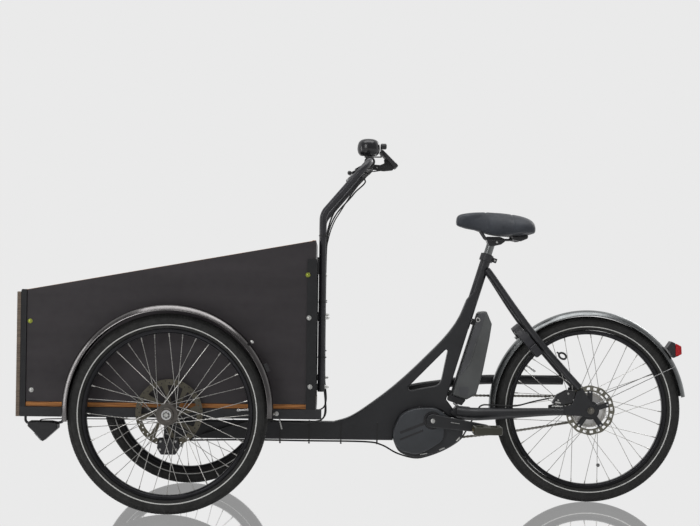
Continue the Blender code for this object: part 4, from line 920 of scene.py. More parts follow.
def front_guards():
    for side, word in SIDES:
        node = word + "_front_mudguard"
        shape = guard_shape(FRONT_GUARD_RADIUS, FRONT_GUARD_DEPTH, -4.0, 187.0)
        move(shape, 0, side * HALF_TRACK, AXLE_HEIGHT + FRONT_GUARD_RISE)
        piece(word + "_guard", shape, "polished", "front_frame", "polished_guard", node)
        inner, outer = span(side, 0.3255, 0.374)
        fittings = []
        for x, z in ((-0.3205, 0.2862), (0.3065, 0.3000)):
            fittings.append(brick((x, inner, z), (x + 0.014, outer, z + 0.004), 0.0012))
            fittings.append(bolt((x + 0.007, side * 0.368, z + 0.004), (0, 0, 1), 0.0036, 0.0024))
        piece(word + "_guard_strips", merge(*fittings), "zinc", "front_frame", "polished_guard")
        clip = turn(brick((-0.004, -0.009, -0.013), (0.008, 0.009, 0.013), 0.002), -24, "Y")
        move(clip, 0.2930, side * 0.385, 0.4420)
        piece(word + "_guard_clip", clip, "plastic", "front_frame", "polished_guard")
        screw = bolt((0.2505, side * (HALF_TRACK + 0.018), 0.5204), (0.55, side * 0.6, 0.6), 0.0036, 0.0024)
        piece(word + "_guard_screw", screw, "zinc", "front_frame", "polished_guard")


def rear_guard():
    shape = move(guard_shape(REAR_GUARD_RADIUS, REAR_GUARD_DEPTH, 8.0, 183.5), WHEELBASE, 0, AXLE_HEIGHT)
    piece("rear_guard", shape, "guard_satin", "rear_frame", "polished_guard", "rear_mudguard")
    x, z = on_rear_wheel(0.3105, 27.0)
    leg = [(1.338, -0.0775, 0.322), (x, -0.0330, z)]
    path = rounded(leg + [(a, -b, c) for a, b, c in leg[::-1]], 0.008, 5)
    piece("rear_guard_wires", pipe(path, 0.0014, 10), "wire", "rear_frame", "polished_guard",
          "rear_mudguard_stay")


def on_rear_wheel(radius, degrees):
    return polar(radius, degrees, (WHEELBASE, AXLE_HEIGHT))


# ---------------------------------------------------------------- cargo box

BOX_SKIN = 0.3203
POST_SKIN = 0.3243
POST_FOOT = 0.322
SIDE_BOLTS = [(-0.4269, 0.5729, "yellow_zinc"), (-0.4207, 0.3640, "zinc"), (0.4139, 0.7229, "yellow_zinc"),
              (0.4186, 0.5922, "zinc"), (0.4243, 0.3828, "zinc")]
PANEL_BOLT_HEIGHTS = (0.565, 0.354)
PANEL_BOLT_Y = 0.28
BAR_CLIP_HEIGHTS = (0.5914, 0.3787)
BAR_X = 0.4575
BAR_Y = 0.250


def edged(shape, dark_axes):
    """Paint a panel's narrow faces as cut plywood, except those that look along the dark axes."""
    for face in shape.faces:
        dark = any(abs(face.normal[axis]) > 0.90 for axis in dark_axes)
        face.material_index = 0 if dark else 1
    return shape


def box_panels():
    for node, dark_axes in (("left_side_panel", (0, 1)), ("right_side_panel", (0, 1)),
                            ("front_panel", (0,)), ("rear_panel", (0, 1)), ("box_floor", (2,))):
        shape = softened(node, 0.0016)
        shape.normal_update()
        cut = "ply_dusty" if node == "front_panel" else "ply_edge"
        piece(node + "_board", edged(shape, dark_axes), ["film", cut], "front_frame", "plywood", node)


def box_frame():
    base = softened("box_base_frame", 0.0014)
    for face in base.faces:
        if face.calc_center_median().z > POST_FOOT:
            face.material_index = 1
    piece("base_frame", base, ["frame", "post_coat"], "front_frame", "frame_black", "box_base_frame")
    piece("cross_beam", softened("axle_beam", 0.0010), "frame", "front_frame", "frame_black", "axle_beam")
    piece("steering_pin", softened("king_pin", 0.0008), "zinc", "rear_frame", "frame_black", "king_pin")
    front = limits("front_panel")[0].x
    caps = []
    for side in (-1, 1):
        near, far = span(side, 0.2955, 0.3235)
        caps.append(brick((front + 0.0135, near, 0.6665), (front + 0.0280, far, 0.6695), 0.0012))
        near, far = span(side, 0.252, 0.268)
        caps.append(brick((0.4420, near, 0.7285), (0.4475, far, 0.7784), 0.0015))
    piece("post_caps", merge(*caps), "plastic", "front_frame", "frame_black")


def box_bolts():
    """Bolts through the side boards, the front board and the push bar's clips."""
    shapes = {"yellow_zinc": [], "zinc": []}
    front = limits("front_panel")[0].x
    for side in (-1, 1):
        for x, z, look in SIDE_BOLTS:
            skin = BOX_SKIN if x < 0 else POST_SKIN
            shapes[look].append(bolt((x, side * skin, z), (0, side, 0), 0.0046, 0.0032))
        for z in PANEL_BOLT_HEIGHTS:
            shapes["zinc"].append(bolt((front, side * PANEL_BOLT_Y, z), (-1, 0, 0), 0.0055, 0.0085))
        for z in BAR_CLIP_HEIGHTS:
            shapes["zinc"].append(bolt((BAR_X + 0.0110, side * BAR_Y, z), (1, 0, 0), 0.0050, 0.0125))
        shapes["zinc"].append(bolt((BAR_X + 0.0110, side * BAR_Y, 0.724), (1, 0, 0), 0.0030, 0.0030))
        shapes["zinc"].append(bolt((0.3241, side * POST_SKIN, 0.300), (0, side, 0), 0.0042, 0.0030))
        shapes["zinc"].append(pipe([(0.3304, side * 0.300, 0.2879), (0.3352, side * 0.300, 0.2700),
                                    (0.3400, side * 0.300, 0.2513)], 0.0021, 10))
    for look, parts in shapes.items():
        piece("box_bolts_" + look, merge(*parts), look, "front_frame", "frame_black")
    clips = []
    band = [(0.0124, -0.008), (0.0124, 0.008), (0.0112, 0.008), (0.0112, -0.008)]
    for side in (-1, 1):
        for z in BAR_CLIP_HEIGHTS:
            low, high = span(side, BAR_Y - 0.015, BAR_Y + 0.015)
            clips.append(brick((0.4384, low, z - 0.010), (0.4470, high, z + 0.010), 0.0015))
            clips.append(move(turn(lathe(band, 24, -100, 100), 90, "X"), BAR_X, side * BAR_Y, z))
    piece("bar_clips", merge(*clips), "plastic", "front_frame", "frame_black")


# ---------------------------------------------------------------- push bar and controls

BAR_TOP = pivot("gear_twist")
BAR_RADIUS = 0.011
LEVER_FORWARD = (-0.87, 0, -0.493)
LEVER_Y = 0.059
LEVER_PIVOT = 0.035
BELL = pivot("bell_thumb")
KNOB_RISE = 0.030
DISPLAY_Y = 0.022


def push_bar():
    side = [(BAR_X, -BAR_Y, 0.366), (BAR_X, -BAR_Y, 0.912), (BAR_TOP.x, -BAR_Y, BAR_TOP.z)]
    path = rounded(side + [(x, -y, z) for x, y, z in side[::-1]], 0.05, 10)
    shape = pipe(path, BAR_RADIUS, 28)
    plugs = [rod((BAR_X, s * BAR_Y, 0.3640), (BAR_X, s * BAR_Y, 0.3662), 0.0104, 24) for s in (-1, 1)]
    piece("bar_tube", shape, "bar", "front_frame", "frame_black", "push_bar")
    piece("bar_plugs", merge(*plugs), "plastic", "front_frame", "frame_black")


def on_bar(shape):
    return move(shape, BAR_TOP.x, 0, BAR_TOP.z)


def ribbed_sleeve(low, high, radius, ribs, depth):
    """A sleeve round the cross bar, with rounded ends and shallow ribs."""
    inner = BAR_RADIUS + 0.0003
    pitch = (high - low - 0.010) / ribs
    outline = [(inner, low), (radius - 0.001, low), (radius + 0.0008, low + 0.001),
               (radius + 0.0008, low + 0.003), (radius - depth, low + 0.005)]
    for index in range(ribs):
        foot = low + 0.005 + index * pitch
        outline += [(radius - depth, foot + pitch * 0.20), (radius, foot + pitch * 0.35),
                    (radius, foot + pitch * 0.80), (radius - depth, foot + pitch * 0.95)]
    outline += [(radius - depth, high - 0.005), (radius + 0.0004, high - 0.003), (radius - 0.002, high),
                (inner, high)]
    return on_bar(lathe(outline, 48))


def grips():
    piece("left_grip_sleeve", ribbed_sleeve(-0.195, -0.0725, 0.0162, 20, 0.0007), "grip", "front_frame",
          "grip_rubber", "left_grip")
    piece("right_grip_sleeve", ribbed_sleeve(0.1055, 0.195, 0.0162, 15, 0.0007), "grip", "front_frame",
          "grip_rubber", "right_grip")
    piece("gear_shifter", ribbed_sleeve(0.0725, 0.1050, 0.0186, 5, 0.0012), "grip", "shifter",
          "grip_rubber", "twist_shifter")


def lever_matrix(side):
    """X forward along the lever's reach, Y outboard, Z along its pivot, at the lever's clamp."""
    x_axis = Vector(LEVER_FORWARD).normalized()
    y_axis = Vector((0, side, 0))
    z_axis = x_axis.cross(y_axis)
    matrix = Matrix((x_axis, y_axis, z_axis)).transposed().to_4x4()
    matrix.translation = Vector((BAR_TOP.x, side * LEVER_Y, BAR_TOP.z))
    return matrix


def lever_blade():
    """Curved finger lever with a ball end and a pivot boss, about the pivot."""
    reach = smooth([(0, 0, 0), (0.010, 0.018, 0), (0.026, 0.038, 0), (0.034, 0.062, 0),
                    (0.035, 0.095, 0), (0.037, 0.128, 0)], 8)
    blade = pipe(reach, 0.0047, 16)
    transform(blade, Matrix.Diagonal((1, 1, 1.18, 1)))
    boss = rod((0, 0, -0.0057), (0, 0, 0.0057), 0.0088, 24, 0.0006)
    return merge(blade, boss, ball((0.037, 0.130, 0), 0.0069, 20))


def brake_levers():
    for side, word in SIDES:
        matrix = lever_matrix(side)
        mount = softened(word + "_lever_mount", 0.0009)
        piece(word + "_lever_clamp", mount, "gloss", "front_frame", "control_black", word + "_lever_mount")
        bolts = [bolt((0.0245, -0.0178, 0), (0, -1, 0), 0.0058, 0.0016, washer=False),
                 bolt((0.0300, -0.0030, 0.0100), (0, 0, 1), 0.0026, 0.0012, washer=False),
                 bolt((0.0190, 0.0020, 0.0100), (0, 0, 1), 0.0026, 0.0012, washer=False)]
        piece(word + "_lever_bolts", transform(merge(*bolts), matrix), "zinc", "front_frame", "control_black")
        at_pivot = matrix @ Matrix.Translation((LEVER_PIVOT, 0, 0))
        body = word + "_lever"
        piece(word + "_lever_blade", transform(lever_blade(), at_pivot), "gloss", body, "control_black",
              word + "_brake_lever")
        pin = rod((0, 0, -0.0108), (0, 0, 0.0108), 0.0029, 16, 0.0004)
        piece(word + "_lever_pin", transform(pin, at_pivot), "steel", body, "control_black")


def upright(profile, steps=48):
    """An open profile of (radius, height) turned about Z."""
    return turn(lathe(profile, steps, closed=False), 90, "X")


def bell():
    place = (BELL.x, BELL.y, BELL.z)
    cap = smooth([(0.0, 0.0540), (0.0160, 0.0530), (0.0270, 0.0480), (0.0336, 0.0390), (0.0361, 0.0260),
                  (0.0358, 0.0160), (0.0330, 0.0070), (0.0285, 0.0015)], 4)
    dome = upright(cap + [(0.0270, 0.0002), (0.0260, 0.0030), (0.0, 0.0030)])
    stem = rod((0, 0, BAR_TOP.z + 0.012 - BELL.z), (0, 0, 0.004), 0.0079, 20)
    shape = move(merge(dome, stem), *place)
    clamp = on_bar(lathe([(0.0150, BELL.y + 0.0060), (0.0152, BELL.y - 0.0055), (0.0146, BELL.y - 0.0062),
                          (0.0113, BELL.y - 0.0062), (0.0113, BELL.y + 0.0062), (0.0146, BELL.y + 0.0062)]))
    piece("bell_cap", merge(shape, clamp), "gloss", "front_frame", "control_black", "bell_dome")
    arm = [(0.011, -0.0042), (0.0425, -0.0040), (0.0425, 0.0040), (0.011, 0.0042)]
    low, high = -0.0063, -0.0022
    ring = plate([circle((0, 0), 0.0133, 32), circle((0, 0), 0.0088, 32)], low, high, 0.0004, lying=True)
    reach = plate([rounded_outline(arm, 0.002)], low + 0.0002, high - 0.0002, 0.0004, lying=True)
    leg = brick((0.0380, -0.0036, low + 0.0006), (0.0422, 0.0036, KNOB_RISE + 0.003), 0.0010)
    knob = rod((0.0384, 0, KNOB_RISE), (0.0580, 0, KNOB_RISE), 0.0094, 28, 0.0030)
    piece("bell_thumb_lever", move(merge(ring, reach, leg, knob), *place), "plastic", "bell_lever",
          "control_black", "bell_lever")


def display():
    """Slim display on its arm, with glass, a raised frame and four keys."""
    outline = rounded_outline(rectangle(-0.037, 0.037, -0.036, 0.036), 0.006)
    case = plate([outline], -0.0068, 0.0062, 0.0014, 2, lying=True)
    glass = paint(plate([rounded_outline(rectangle(-0.031, 0.020, -0.030, 0.030), 0.003)], 0.0060, 0.0068,
                        0.0002, lying=True), 1)
    keys = []
    for y in (-0.021, -0.007, 0.007, 0.021):
        key = brick((0.0235, y - 0.0052, 0.0058), (0.0325, y + 0.0052, 0.0078), 0.0008)
        keys.append(paint(key, 2))
    face = turn(merge(case, glass, *keys), 45, "Y")
    move(face, 0.668, DISPLAY_Y - 0.001, 1.1045)
    arm = plate([rounded_outline([(0.6105, 1.071), (0.652, 1.0660), (0.680, 1.0690), (0.690, 1.079),
                                  (0.686, 1.089), (0.663, 1.108), (0.652, 1.104), (0.654, 1.092),
                                  (0.640, 1.086), (0.6105, 1.0885)], 0.003)],
                DISPLAY_Y - 0.0072, DISPLAY_Y + 0.0072, 0.0012)
    clamp = on_bar(lathe([(0.0155, DISPLAY_Y - 0.0095), (0.0155, DISPLAY_Y + 0.0095),
                          (0.0149, DISPLAY_Y + 0.0102), (0.0113, DISPLAY_Y + 0.0102),
                          (0.0113, DISPLAY_Y - 0.0102), (0.0149, DISPLAY_Y - 0.0102)]))
    piece("display_unit", merge(face, arm, clamp), ["plastic", "screen", "grip"], "front_frame",
          "control_black", "display")
    screw = bolt((0.630, DISPLAY_Y - 0.0072, 1.0775), (0, -1, 0), 0.0024, 0.0012, washer=False)
    piece("display_screw", screw, "zinc", "front_frame", "control_black")


# ---------------------------------------------------------------- hoses and cables

HOSE_RADIUS = 0.0025
CABLE_RADIUS = 0.0018
BAR_TIE_HEIGHTS = (0.470, 0.640, 0.845)
BEAM_TIES_X = (0.326, 0.420, 0.523, 0.640)
BAR_HOSE = [(0.585, 0.0915, 1.058), (0.592, 0.115, 1.046), (0.596, 0.170, 1.040), (0.588, 0.222, 1.031),
            (0.566, 0.246, 1.012), (0.547, 0.250, 0.989), (0.502, 0.248, 0.936), (0.4770, 0.2420, 0.880),
            (0.4640, 0.2372, 0.800), (0.4625, 0.2368, 0.700), (0.4625, 0.2368, 0.450),
            (0.4680, 0.2375, 0.370), (0.4733, 0.2420, 0.300)]
STEERING_LINK = [(0.458, -0.240, 0.2745), (0.400, -0.200, 0.262), (0.330, -0.100, 0.258),
                 (0.250, -0.030, 0.256), (0.100, -0.024, 0.215), (0.030, -0.006, 0.1865)]


def other_side(points):
    return [(x, -y, z) for x, y, z in points]


def hose(points, radius=HOSE_RADIUS, sides=12):
    return pipe(smooth(points, 8), radius, sides)


def ferrule(place, towards, length=0.014, radius=0.0043):
    """Threaded end of a hose: a hexagon and a sleeve along the hose."""
    place = Vector(place)
    along = (Vector(towards) - place).normalized()
    return merge(rod(place, place + along * length * 0.5, radius, 6),
                 rod(place + along * length * 0.5, place + along * length, radius * 0.78, 16, 0.0004))


def front_hoses():
    under = [(0.452, 0.238, 0.270), (0.380, 0.225, 0.2655), (0.200, 0.245, 0.2665), (0.070, 0.290, 0.2600),
             (0.050, 0.3185, 0.232), (0.0372, 0.3380, 0.1990)]
    branch = [(0.083, 0.272, 0.262), (0.086, 0.200, 0.2660), (0.086, 0.000, 0.2660),
              (0.084, -0.230, 0.2650), (0.066, -0.298, 0.2560), (0.050, -0.3185, 0.232),
              (0.0372, -0.3380, 0.1990)]
    rear_run = other_side(BAR_HOSE) + STEERING_LINK[:1]
    for name, points, node in (("right_brake_hose", BAR_HOSE + under, "front_brake_hose"),
                               ("left_brake_hose", branch, "left_branch_hose"),
                               ("rear_brake_hose", rear_run, "rear_hose_upper")):
        piece(name, hose(points), "hose", "front_frame", "hose_black", node)
    boots = [ferrule(run[0], run[1]) for run in (BAR_HOSE, other_side(BAR_HOSE))]
    piece("hose_boots", merge(*boots), "plastic", "front_frame", "hose_black")
    ends = []
    for points in (under, branch):
        ends.append(ferrule(points[-1], points[-2]))
    splitter = brick((0.073, 0.262, 0.2575), (0.093, 0.281, 0.2695), 0.0015)
    piece("hose_ends", merge(*ends, splitter), "zinc", "front_frame", "hose_black")


def cables():
    """Display and lamp cables: a slack bow behind the bar, then down beside the brake hose."""
    bow = [(0.640, 0.016, 1.068), (0.619, -0.010, 1.063), (0.611, -0.060, 1.061), (0.609, -0.150, 1.059),
           (0.604, -0.222, 1.050), (0.586, -0.255, 1.025), (0.562, -0.259, 0.998), (0.539, -0.257, 0.966),
           (0.512, -0.256, 0.922), (0.490, -0.254, 0.884), (0.4745, -0.246, 0.835), (0.4690, -0.241, 0.780),
           (0.4680, -0.240, 0.560), (0.4690, -0.240, 0.400), (0.4700, -0.247, 0.300),
           (0.4560, -0.247, 0.2735)]
    lamp = [(0.4560, -0.247, 0.2735), (0.380, -0.262, 0.2700), (0.150, -0.268, 0.2740),
            (-0.200, -0.268, 0.2740), (-0.380, -0.268, 0.2720), (-0.400, -0.270, 0.2640)]
    piece("display_cable", merge(hose(bow, CABLE_RADIUS, 10), hose(lamp, 0.0016, 10)), "hose", "front_frame",
          "hose_black")
    ties = []
    band = [(0.0127, -0.0016), (0.0127, 0.0016), (0.0112, 0.0016), (0.0112, -0.0016)]
    for side in (-1, 1):
        for z in BAR_TIE_HEIGHTS:
            ring = turn(lathe(band, 28), 90, "X")
            transform(ring, Matrix.Diagonal((1.12, 1.16, 1, 1)))
            ties.append(move(ring, BAR_X + 0.0016, side * (BAR_Y - 0.0020), z))
    piece("bar_ties", merge(*ties), "tie", "front_frame", "hose_black")


def steering_link():
    """Brake hose and cable between the box and the beam, fixed as drawn and on no body."""
    second = [(x, y - 0.006, z + 0.0006) for x, y, z in STEERING_LINK]
    shape = merge(hose(STEERING_LINK), hose(second, CABLE_RADIUS, 10))
    item = piece("steering_hose_link", shape, "hose", None, "hose_black")
    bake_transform(item)


def rear_hose():
    points = [(0.030, -0.006, 0.1865), (0.220, -0.004, 0.1895), (0.420, -0.004, 0.1885),
              (0.600, -0.004, 0.1875), (0.655, -0.006, 0.1780), (0.705, -0.008, 0.1520),
              (0.760, -0.008, 0.1375), (0.802, -0.008, 0.1435), (0.860, -0.008, 0.1665),
              (0.908, -0.010, 0.1985), (0.932, -0.014, 0.2350), (0.956, -0.0205, 0.2800),
              (0.974, -0.0300, 0.3100), (1.010, -0.0470, 0.3135), (1.080, -0.0530, 0.3120),
              (1.140, -0.0555, 0.3270), (1.1980, -0.0550, 0.3395)]
    piece("rear_hose", hose(points), "hose", "rear_frame", "hose_black", "rear_hose_lower")
    cable = [(x, y - 0.0055, z - 0.0005) for x, y, z in points[:7]]
    piece("motor_cable", hose(cable, CABLE_RADIUS, 10), "hose", "rear_frame", "hose_black")
    straps = []
    for x in BEAM_TIES_X:
        ring = plate([rounded_outline(rectangle(-0.0215, 0.0215, 0.1825, 0.2535), 0.005),
                      rounded_outline(rectangle(-0.0200, 0.0200, 0.1840, 0.2520), 0.004)], -0.0018, 0.0018)
        knot = brick((-0.0062, -0.0028, 0.1795), (-0.0010, 0.0028, 0.1835), 0.0006)
        straps.append(move(turn(merge(ring, knot), 90, "Z"), x, 0, 0))
    piece("beam_ties", merge(*straps), "tie", "rear_frame", "hose_black")


# ---------------------------------------------------------------- lamps and calipers

HEADLIGHT = (-0.400, -0.270, 0.238)
TAIL_LIGHT_RADIUS = 0.3245


def headlight():
    x, y, z = HEADLIGHT
    outline = [(-0.035, 0.028), (0.033, 0.028), (0.055, 0.024), (0.055, 0.0065), (0.011, -0.033),
               (-0.016, -0.004), (-0.035, 0.014)]
    case = move(plate([rounded_outline(outline, 0.004)], -0.028, 0.028, 0.0035, 3), x, y, z)
    rod_path = rounded([(-0.446, y, 0.2837), (-0.446, y, 0.259), (-0.424, y, 0.259)], 0.012, 6)
    arm = pipe(rounded([(-0.350, y - 0.004, 0.2600), (-0.330, y - 0.030, 0.2660),
                        (-0.3160, -0.3300, 0.2830)], 0.006, 4), 0.0042, 12)
    piece("headlight_case", merge(case, pipe(rod_path, 0.004, 14), arm), "plastic", "front_frame",
          "lamp_black", "headlight")
    face = rounded_outline(rectangle(-0.017, 0.014, -0.021, 0.021), 0.006)
    tilt = math.degrees(math.atan2(0.029, 0.027))
    for name, low, high, look in (("headlight_reflector", 0.0000, 0.0006, "reflector"),
                                  ("headlight_lens", 0.0006, 0.0028, "clear")):
        glass = plate([face], low, high, 0.0002, lying=True)
        transform(glass, Matrix.Rotation(math.pi, 4, "X"))
        turn(glass, tilt, "Y")
        piece(name, move(glass, x - 0.0025, y, z - 0.0185), look, "front_frame", "lamp_black")


def tail_light():
    back = arc((WHEELBASE, AXLE_HEIGHT), TAIL_LIGHT_RADIUS, 31.5, 38.5, 4)
    case = plate([back + [(1.590, 0.5235), (1.602, 0.5185), (1.6035, 0.4775), (1.6080, 0.4755)]],
                 -0.024, 0.024, 0.0020, 2)
    red = plate([rounded_outline([(1.6025, 0.5182), (1.612, 0.514), (1.6225, 0.508), (1.6240, 0.4830),
                                  (1.6100, 0.4752), (1.6035, 0.4770)], 0.003)], -0.0225, 0.0225, 0.0022, 2)
    piece("tail_light_case", case, "plastic", "rear_frame", "lamp_black", "tail_light")
    piece("tail_light_lens", red, "red", "rear_frame", "lamp_black")


def calipers():
    """Brake bodies with their halves' bolts, pad pin and hose bolt."""
    for side, word in SIDES:
        body = softened(word + "_brake_caliper", 0.0015, 3)
        piece(word + "_caliper", body, "gloss", "front_frame", "caliper_black", word + "_brake_caliper")
        bolts = []
        for x, z in ((-0.024, 0.192), (0.024, 0.192), (-0.0225, 0.216), (0.0225, 0.216)):
            bolts.append(bolt((x, side * 0.3600, z), (0, side, 0), 0.0034, 0.0020, washer=False))
        bolts.append(rod((0, side * 0.3598, 0.1860), (0, side * 0.3625, 0.1860), 0.0026, 12))
        bolts.append(rod((-0.010, side * 0.3325, 0.2360), (0.010, side * 0.3325, 0.2360), 0.0020, 10))
        piece(word + "_caliper_bolts", merge(*bolts), "zinc", "front_frame", "caliper_black")
    piece("rear_caliper_body", softened("rear_caliper", 0.0015, 3), "gloss", "rear_frame", "caliper_black",
          "rear_caliper")
    bolts = []
    for x, z in ((1.218, 0.332), (1.250, 0.354), (1.268, 0.334)):
        bolts.append(bolt((x, -0.0655, z), (0, -1, 0), 0.0036, 0.0022, washer=False))
    bolts.append(ferrule((1.2020, -0.0550, 0.3405), (1.182, -0.0550, 0.3380)))
    bolts.append(rod((1.198, -0.0672, 0.3130), (1.232, -0.0672, 0.3120), 0.0022, 10))
    bolts.append(rod((1.208, -0.0650, 0.3260), (1.226, -0.0650, 0.3230), 0.0030, 12))
    piece("rear_caliper_bolts", merge(*bolts), "zinc", "rear_frame", "caliper_black")


# ---------------------------------------------------------------- rear frame

BEAM_LOW, BEAM_HIGH = 0.194, 0.252
SPINE_HALF = 0.020
COLLAR_HEIGHT = 0.78725
TUBE_FOOT = (0.863, 0.328)
TUBE_SLOPE = 0.3117
TUBE_RADIUS = 0.0165
TUBE_TOP = 0.800
DROPOUT_INNER, DROPOUT_OUTER = 0.0685, 0.0745


def tube_line(height, offset=0.0):
    """X of the seat tube's rear edge at a height, or of a line in front of or behind it."""
    return TUBE_FOOT[0] + TUBE_SLOPE * (height - TUBE_FOOT[1]) + offset * math.sqrt(1 + TUBE_SLOPE ** 2)


def seat_axis(height, y=0.0):
    return (tube_line(height, -TUBE_RADIUS), y, height)


def along_tube(run, away):
    """A point given by its run up the seat tube and its distance behind it."""
    size = math.sqrt(1 + TUBE_SLOPE ** 2)
    up = (TUBE_SLOPE / size, 1 / size)
    return (TUBE_FOOT[0] + run * up[0] + away * up[1], TUBE_FOOT[1] + run * up[1] - away * up[0])


def tube_outline(*corners):
    """An outline whose corners are runs up the seat tube and distances behind it."""
    return [along_tube(run, away) for run, away in corners]


def along_seat_tube(shape, height):
    """Put a shape drawn about Z on the seat tube's axis."""
    turn(shape, math.degrees(math.atan(TUBE_SLOPE)), "Y")
    return move(shape, *seat_axis(height))


def frame_spine():
    sweep = smooth([(0.500, BEAM_HIGH), (0.560, 0.273), (0.653, 0.338), (0.728, 0.401), (0.802, 0.473),
                    (0.858, 0.532), (0.898, 0.588), (0.926, 0.652)], 8)
    seat = [(tube_line(0.690, -TUBE_RADIUS), 0.690), (tube_line(0.640, -0.003), 0.640),
            (tube_line(TUBE_FOOT[1], -0.001), TUBE_FOOT[1])]
    belly = smooth([(0.912, 0.262), (0.868, 0.274), (0.836, 0.296), (0.748, 0.294), (0.716, 0.276),
                    (0.703, 0.256), (0.694, 0.225), (0.690, BEAM_LOW)], 3)
    nose = arc((-0.025, BEAM_LOW + 0.010), 0.010, 270, 180, 5) + arc((-0.025, BEAM_HIGH - 0.010), 0.010,
                                                                       180, 90, 5)
    triangle = rounded_outline([(0.738, 0.366), (0.740, 0.358), (0.748, 0.356), (0.828, 0.371),
                                (0.840, 0.378), (0.847, 0.392), (0.866, 0.484), (0.862, 0.489),
                                (0.857, 0.487)], 0.002, 3)
    body = plate([nose + sweep + seat + belly, triangle], -SPINE_HALF, SPINE_HALF, 0.0045, 4)
    tube = pipe([seat_axis(0.560), seat_axis(TUBE_TOP)], TUBE_RADIUS, 40)
    piece("frame_body", merge(body, tube), "frame", "rear_frame", "frame_black", "frame_spine", sharp=40)
    head = lathe([(0.0235, 0.004), (0.0240, -0.001), (0.0225, -0.004), (0.0128, -0.004), (0.0128, 0.004)], 40)
    piece("head_rings", move(turn(head, 90, "X"), 0, 0, BEAM_LOW - 0.0005), "zinc", "rear_frame",
          "frame_black")


def seat_clamp():
    ring = turn(lathe([(0.0207, 0.0115), (0.0215, 0.0105), (0.0215, -0.0105), (0.0207, -0.0115),
                       (0.0170, -0.0115), (0.0170, 0.0115)], 48), 90, "X")
    ears = [brick((0.0195, y, -0.0072), (0.0345, y + 0.0070, 0.0072), 0.0012) for y in (-0.0090, 0.0020)]
    shape = along_seat_tube(merge(ring, *ears), COLLAR_HEIGHT)
    piece("seat_collar_ring", shape, "frame", "rear_frame", "frame_black", "seat_collar")
    screw = rod((0.0280, -0.0125, 0), (0.0280, 0.0125, 0), 0.0031, 16, 0.0005)
    piece("seat_collar_bolt", along_seat_tube(screw, COLLAR_HEIGHT), "zinc", "rear_frame", "frame_black")


def dropout(corner, near, far):
    outline = [(1.205, 0.2862), (1.300, 0.2830)] + arc((WHEELBASE, AXLE_HEIGHT), 0.021, -110, 60, 14)
    outline += corner + [(1.262, 0.3200), (1.205, 0.3065)]
    low, high = sorted((near, far))
    return plate([outline], low, high, 0.0010, 2)


def stays():
    """Both seat stays, the raised chain stay, and the left chain stay, with their dropouts."""
    left = [(0.9900, -0.0105, 0.748), (1.012, -0.018, 0.718), (1.085, -0.0465, 0.612),
            (1.160, -0.0545, 0.514), (1.240, -0.066, 0.422), (1.285, -0.0715, 0.3722)]
    raised = [(0.742, 0.0364, 0.3560), (0.790, 0.0370, 0.3650), (0.8545, 0.0400, 0.3740),
              (0.872, 0.0520, 0.3780), (0.910, 0.0590, 0.3810), (1.000, 0.0590, 0.3895),
              (1.150, 0.0590, 0.3900), (1.250, 0.0655, 0.3900)]
    shapes = [pipe(smooth(left, 8), 0.0115, 24),
              pipe(smooth(other_side(left) + [(1.305, 0.0715, 0.345)], 8), 0.0115, 24),
              pipe(smooth(raised, 8), 0.0155, 24),
              rod((1.0085, -0.020, 0.722), (1.0085, 0.020, 0.722), 0.010, 24),
              dropout([(1.322, 0.340), (1.300, 0.366), (1.270, 0.366)], DROPOUT_INNER, DROPOUT_OUTER)]
    piece("stays", merge(*shapes), "frame", "rear_frame", "frame_black", "seat_stays", sharp=45)
    run = [(0.894, -0.0418, 0.2880, 1.68), (0.935, -0.0440, 0.2840, 1.72), (0.985, -0.0502, 0.2850, 1.66),
           (1.080, -0.0525, 0.2890, 1.36), (1.180, -0.0620, 0.2945, 1.06), (1.235, -0.0690, 0.2965, 0.98)]
    fine = smooth(run, 8)
    stay = pipe([point[:3] for point in fine], 0.012, 24, [point[3] for point in fine])
    plate_shape = dropout([(1.316, 0.338), (1.2946, 0.3725), (1.2774, 0.3625)], -DROPOUT_INNER,
                          -DROPOUT_OUTER)
    piece("chain_stay", merge(stay, plate_shape), "frame", "rear_frame", "frame_black", "left_chain_stay",
          sharp=45)
    yoke = [(0.872, 0.286), (0.893, 0.3075), (0.940, 0.3045), (0.940, 0.266), (0.905, 0.262)]
    piece("stay_yoke", plate([rounded_outline(yoke, 0.003)], -0.046, -0.001, 0.0025, 3), "frame",
          "rear_frame", "frame_black")


def axle_nuts():
    centre = (WHEELBASE, 0, AXLE_HEIGHT)
    shapes = [rod((0, -0.090, 0), (0, 0.090, 0), 0.005, 20, 0.0008)]
    for side in (-1, 1):
        shapes.append(hex_nut((0, side * 0.0752, 0), (0, side, 0), 0.0098, 0.0100))
        shapes.append(rod((0, side * 0.0746, 0), (0, side * 0.0762, 0), 0.0112, 32))
    piece("rear_axle_nuts", move(merge(*shapes), *centre), "chain", "rear_frame", "frame_black", "rear_axle")
    front = []
    for side in (-1, 1):
        front.append(hex_nut((0, side * 0.4300, AXLE_HEIGHT), (0, side, 0), 0.0098, 0.0048))
        front.append(rod((0, side * 0.4345, AXLE_HEIGHT), (0, side * 0.4352, AXLE_HEIGHT), 0.0060, 20))
    piece("front_axle_nuts", merge(*front), "zinc", "front_frame", "frame_black")


# ---------------------------------------------------------------- motor and battery

MOTOR_TOP = [(0.690, 0.224), (0.701, 0.256), (0.718, 0.281), (0.752, 0.298), (0.789, 0.3025),
             (0.829, 0.300)]
MOTOR_STRIPS = (((0.777, 0.1535), (0.800, 0.1580)), ((0.838, 0.1685), (0.856, 0.1760)),
                ((0.893, 0.1980), (0.904, 0.2100)))
BATTERY_LOCK = (0.960, 0.5864)


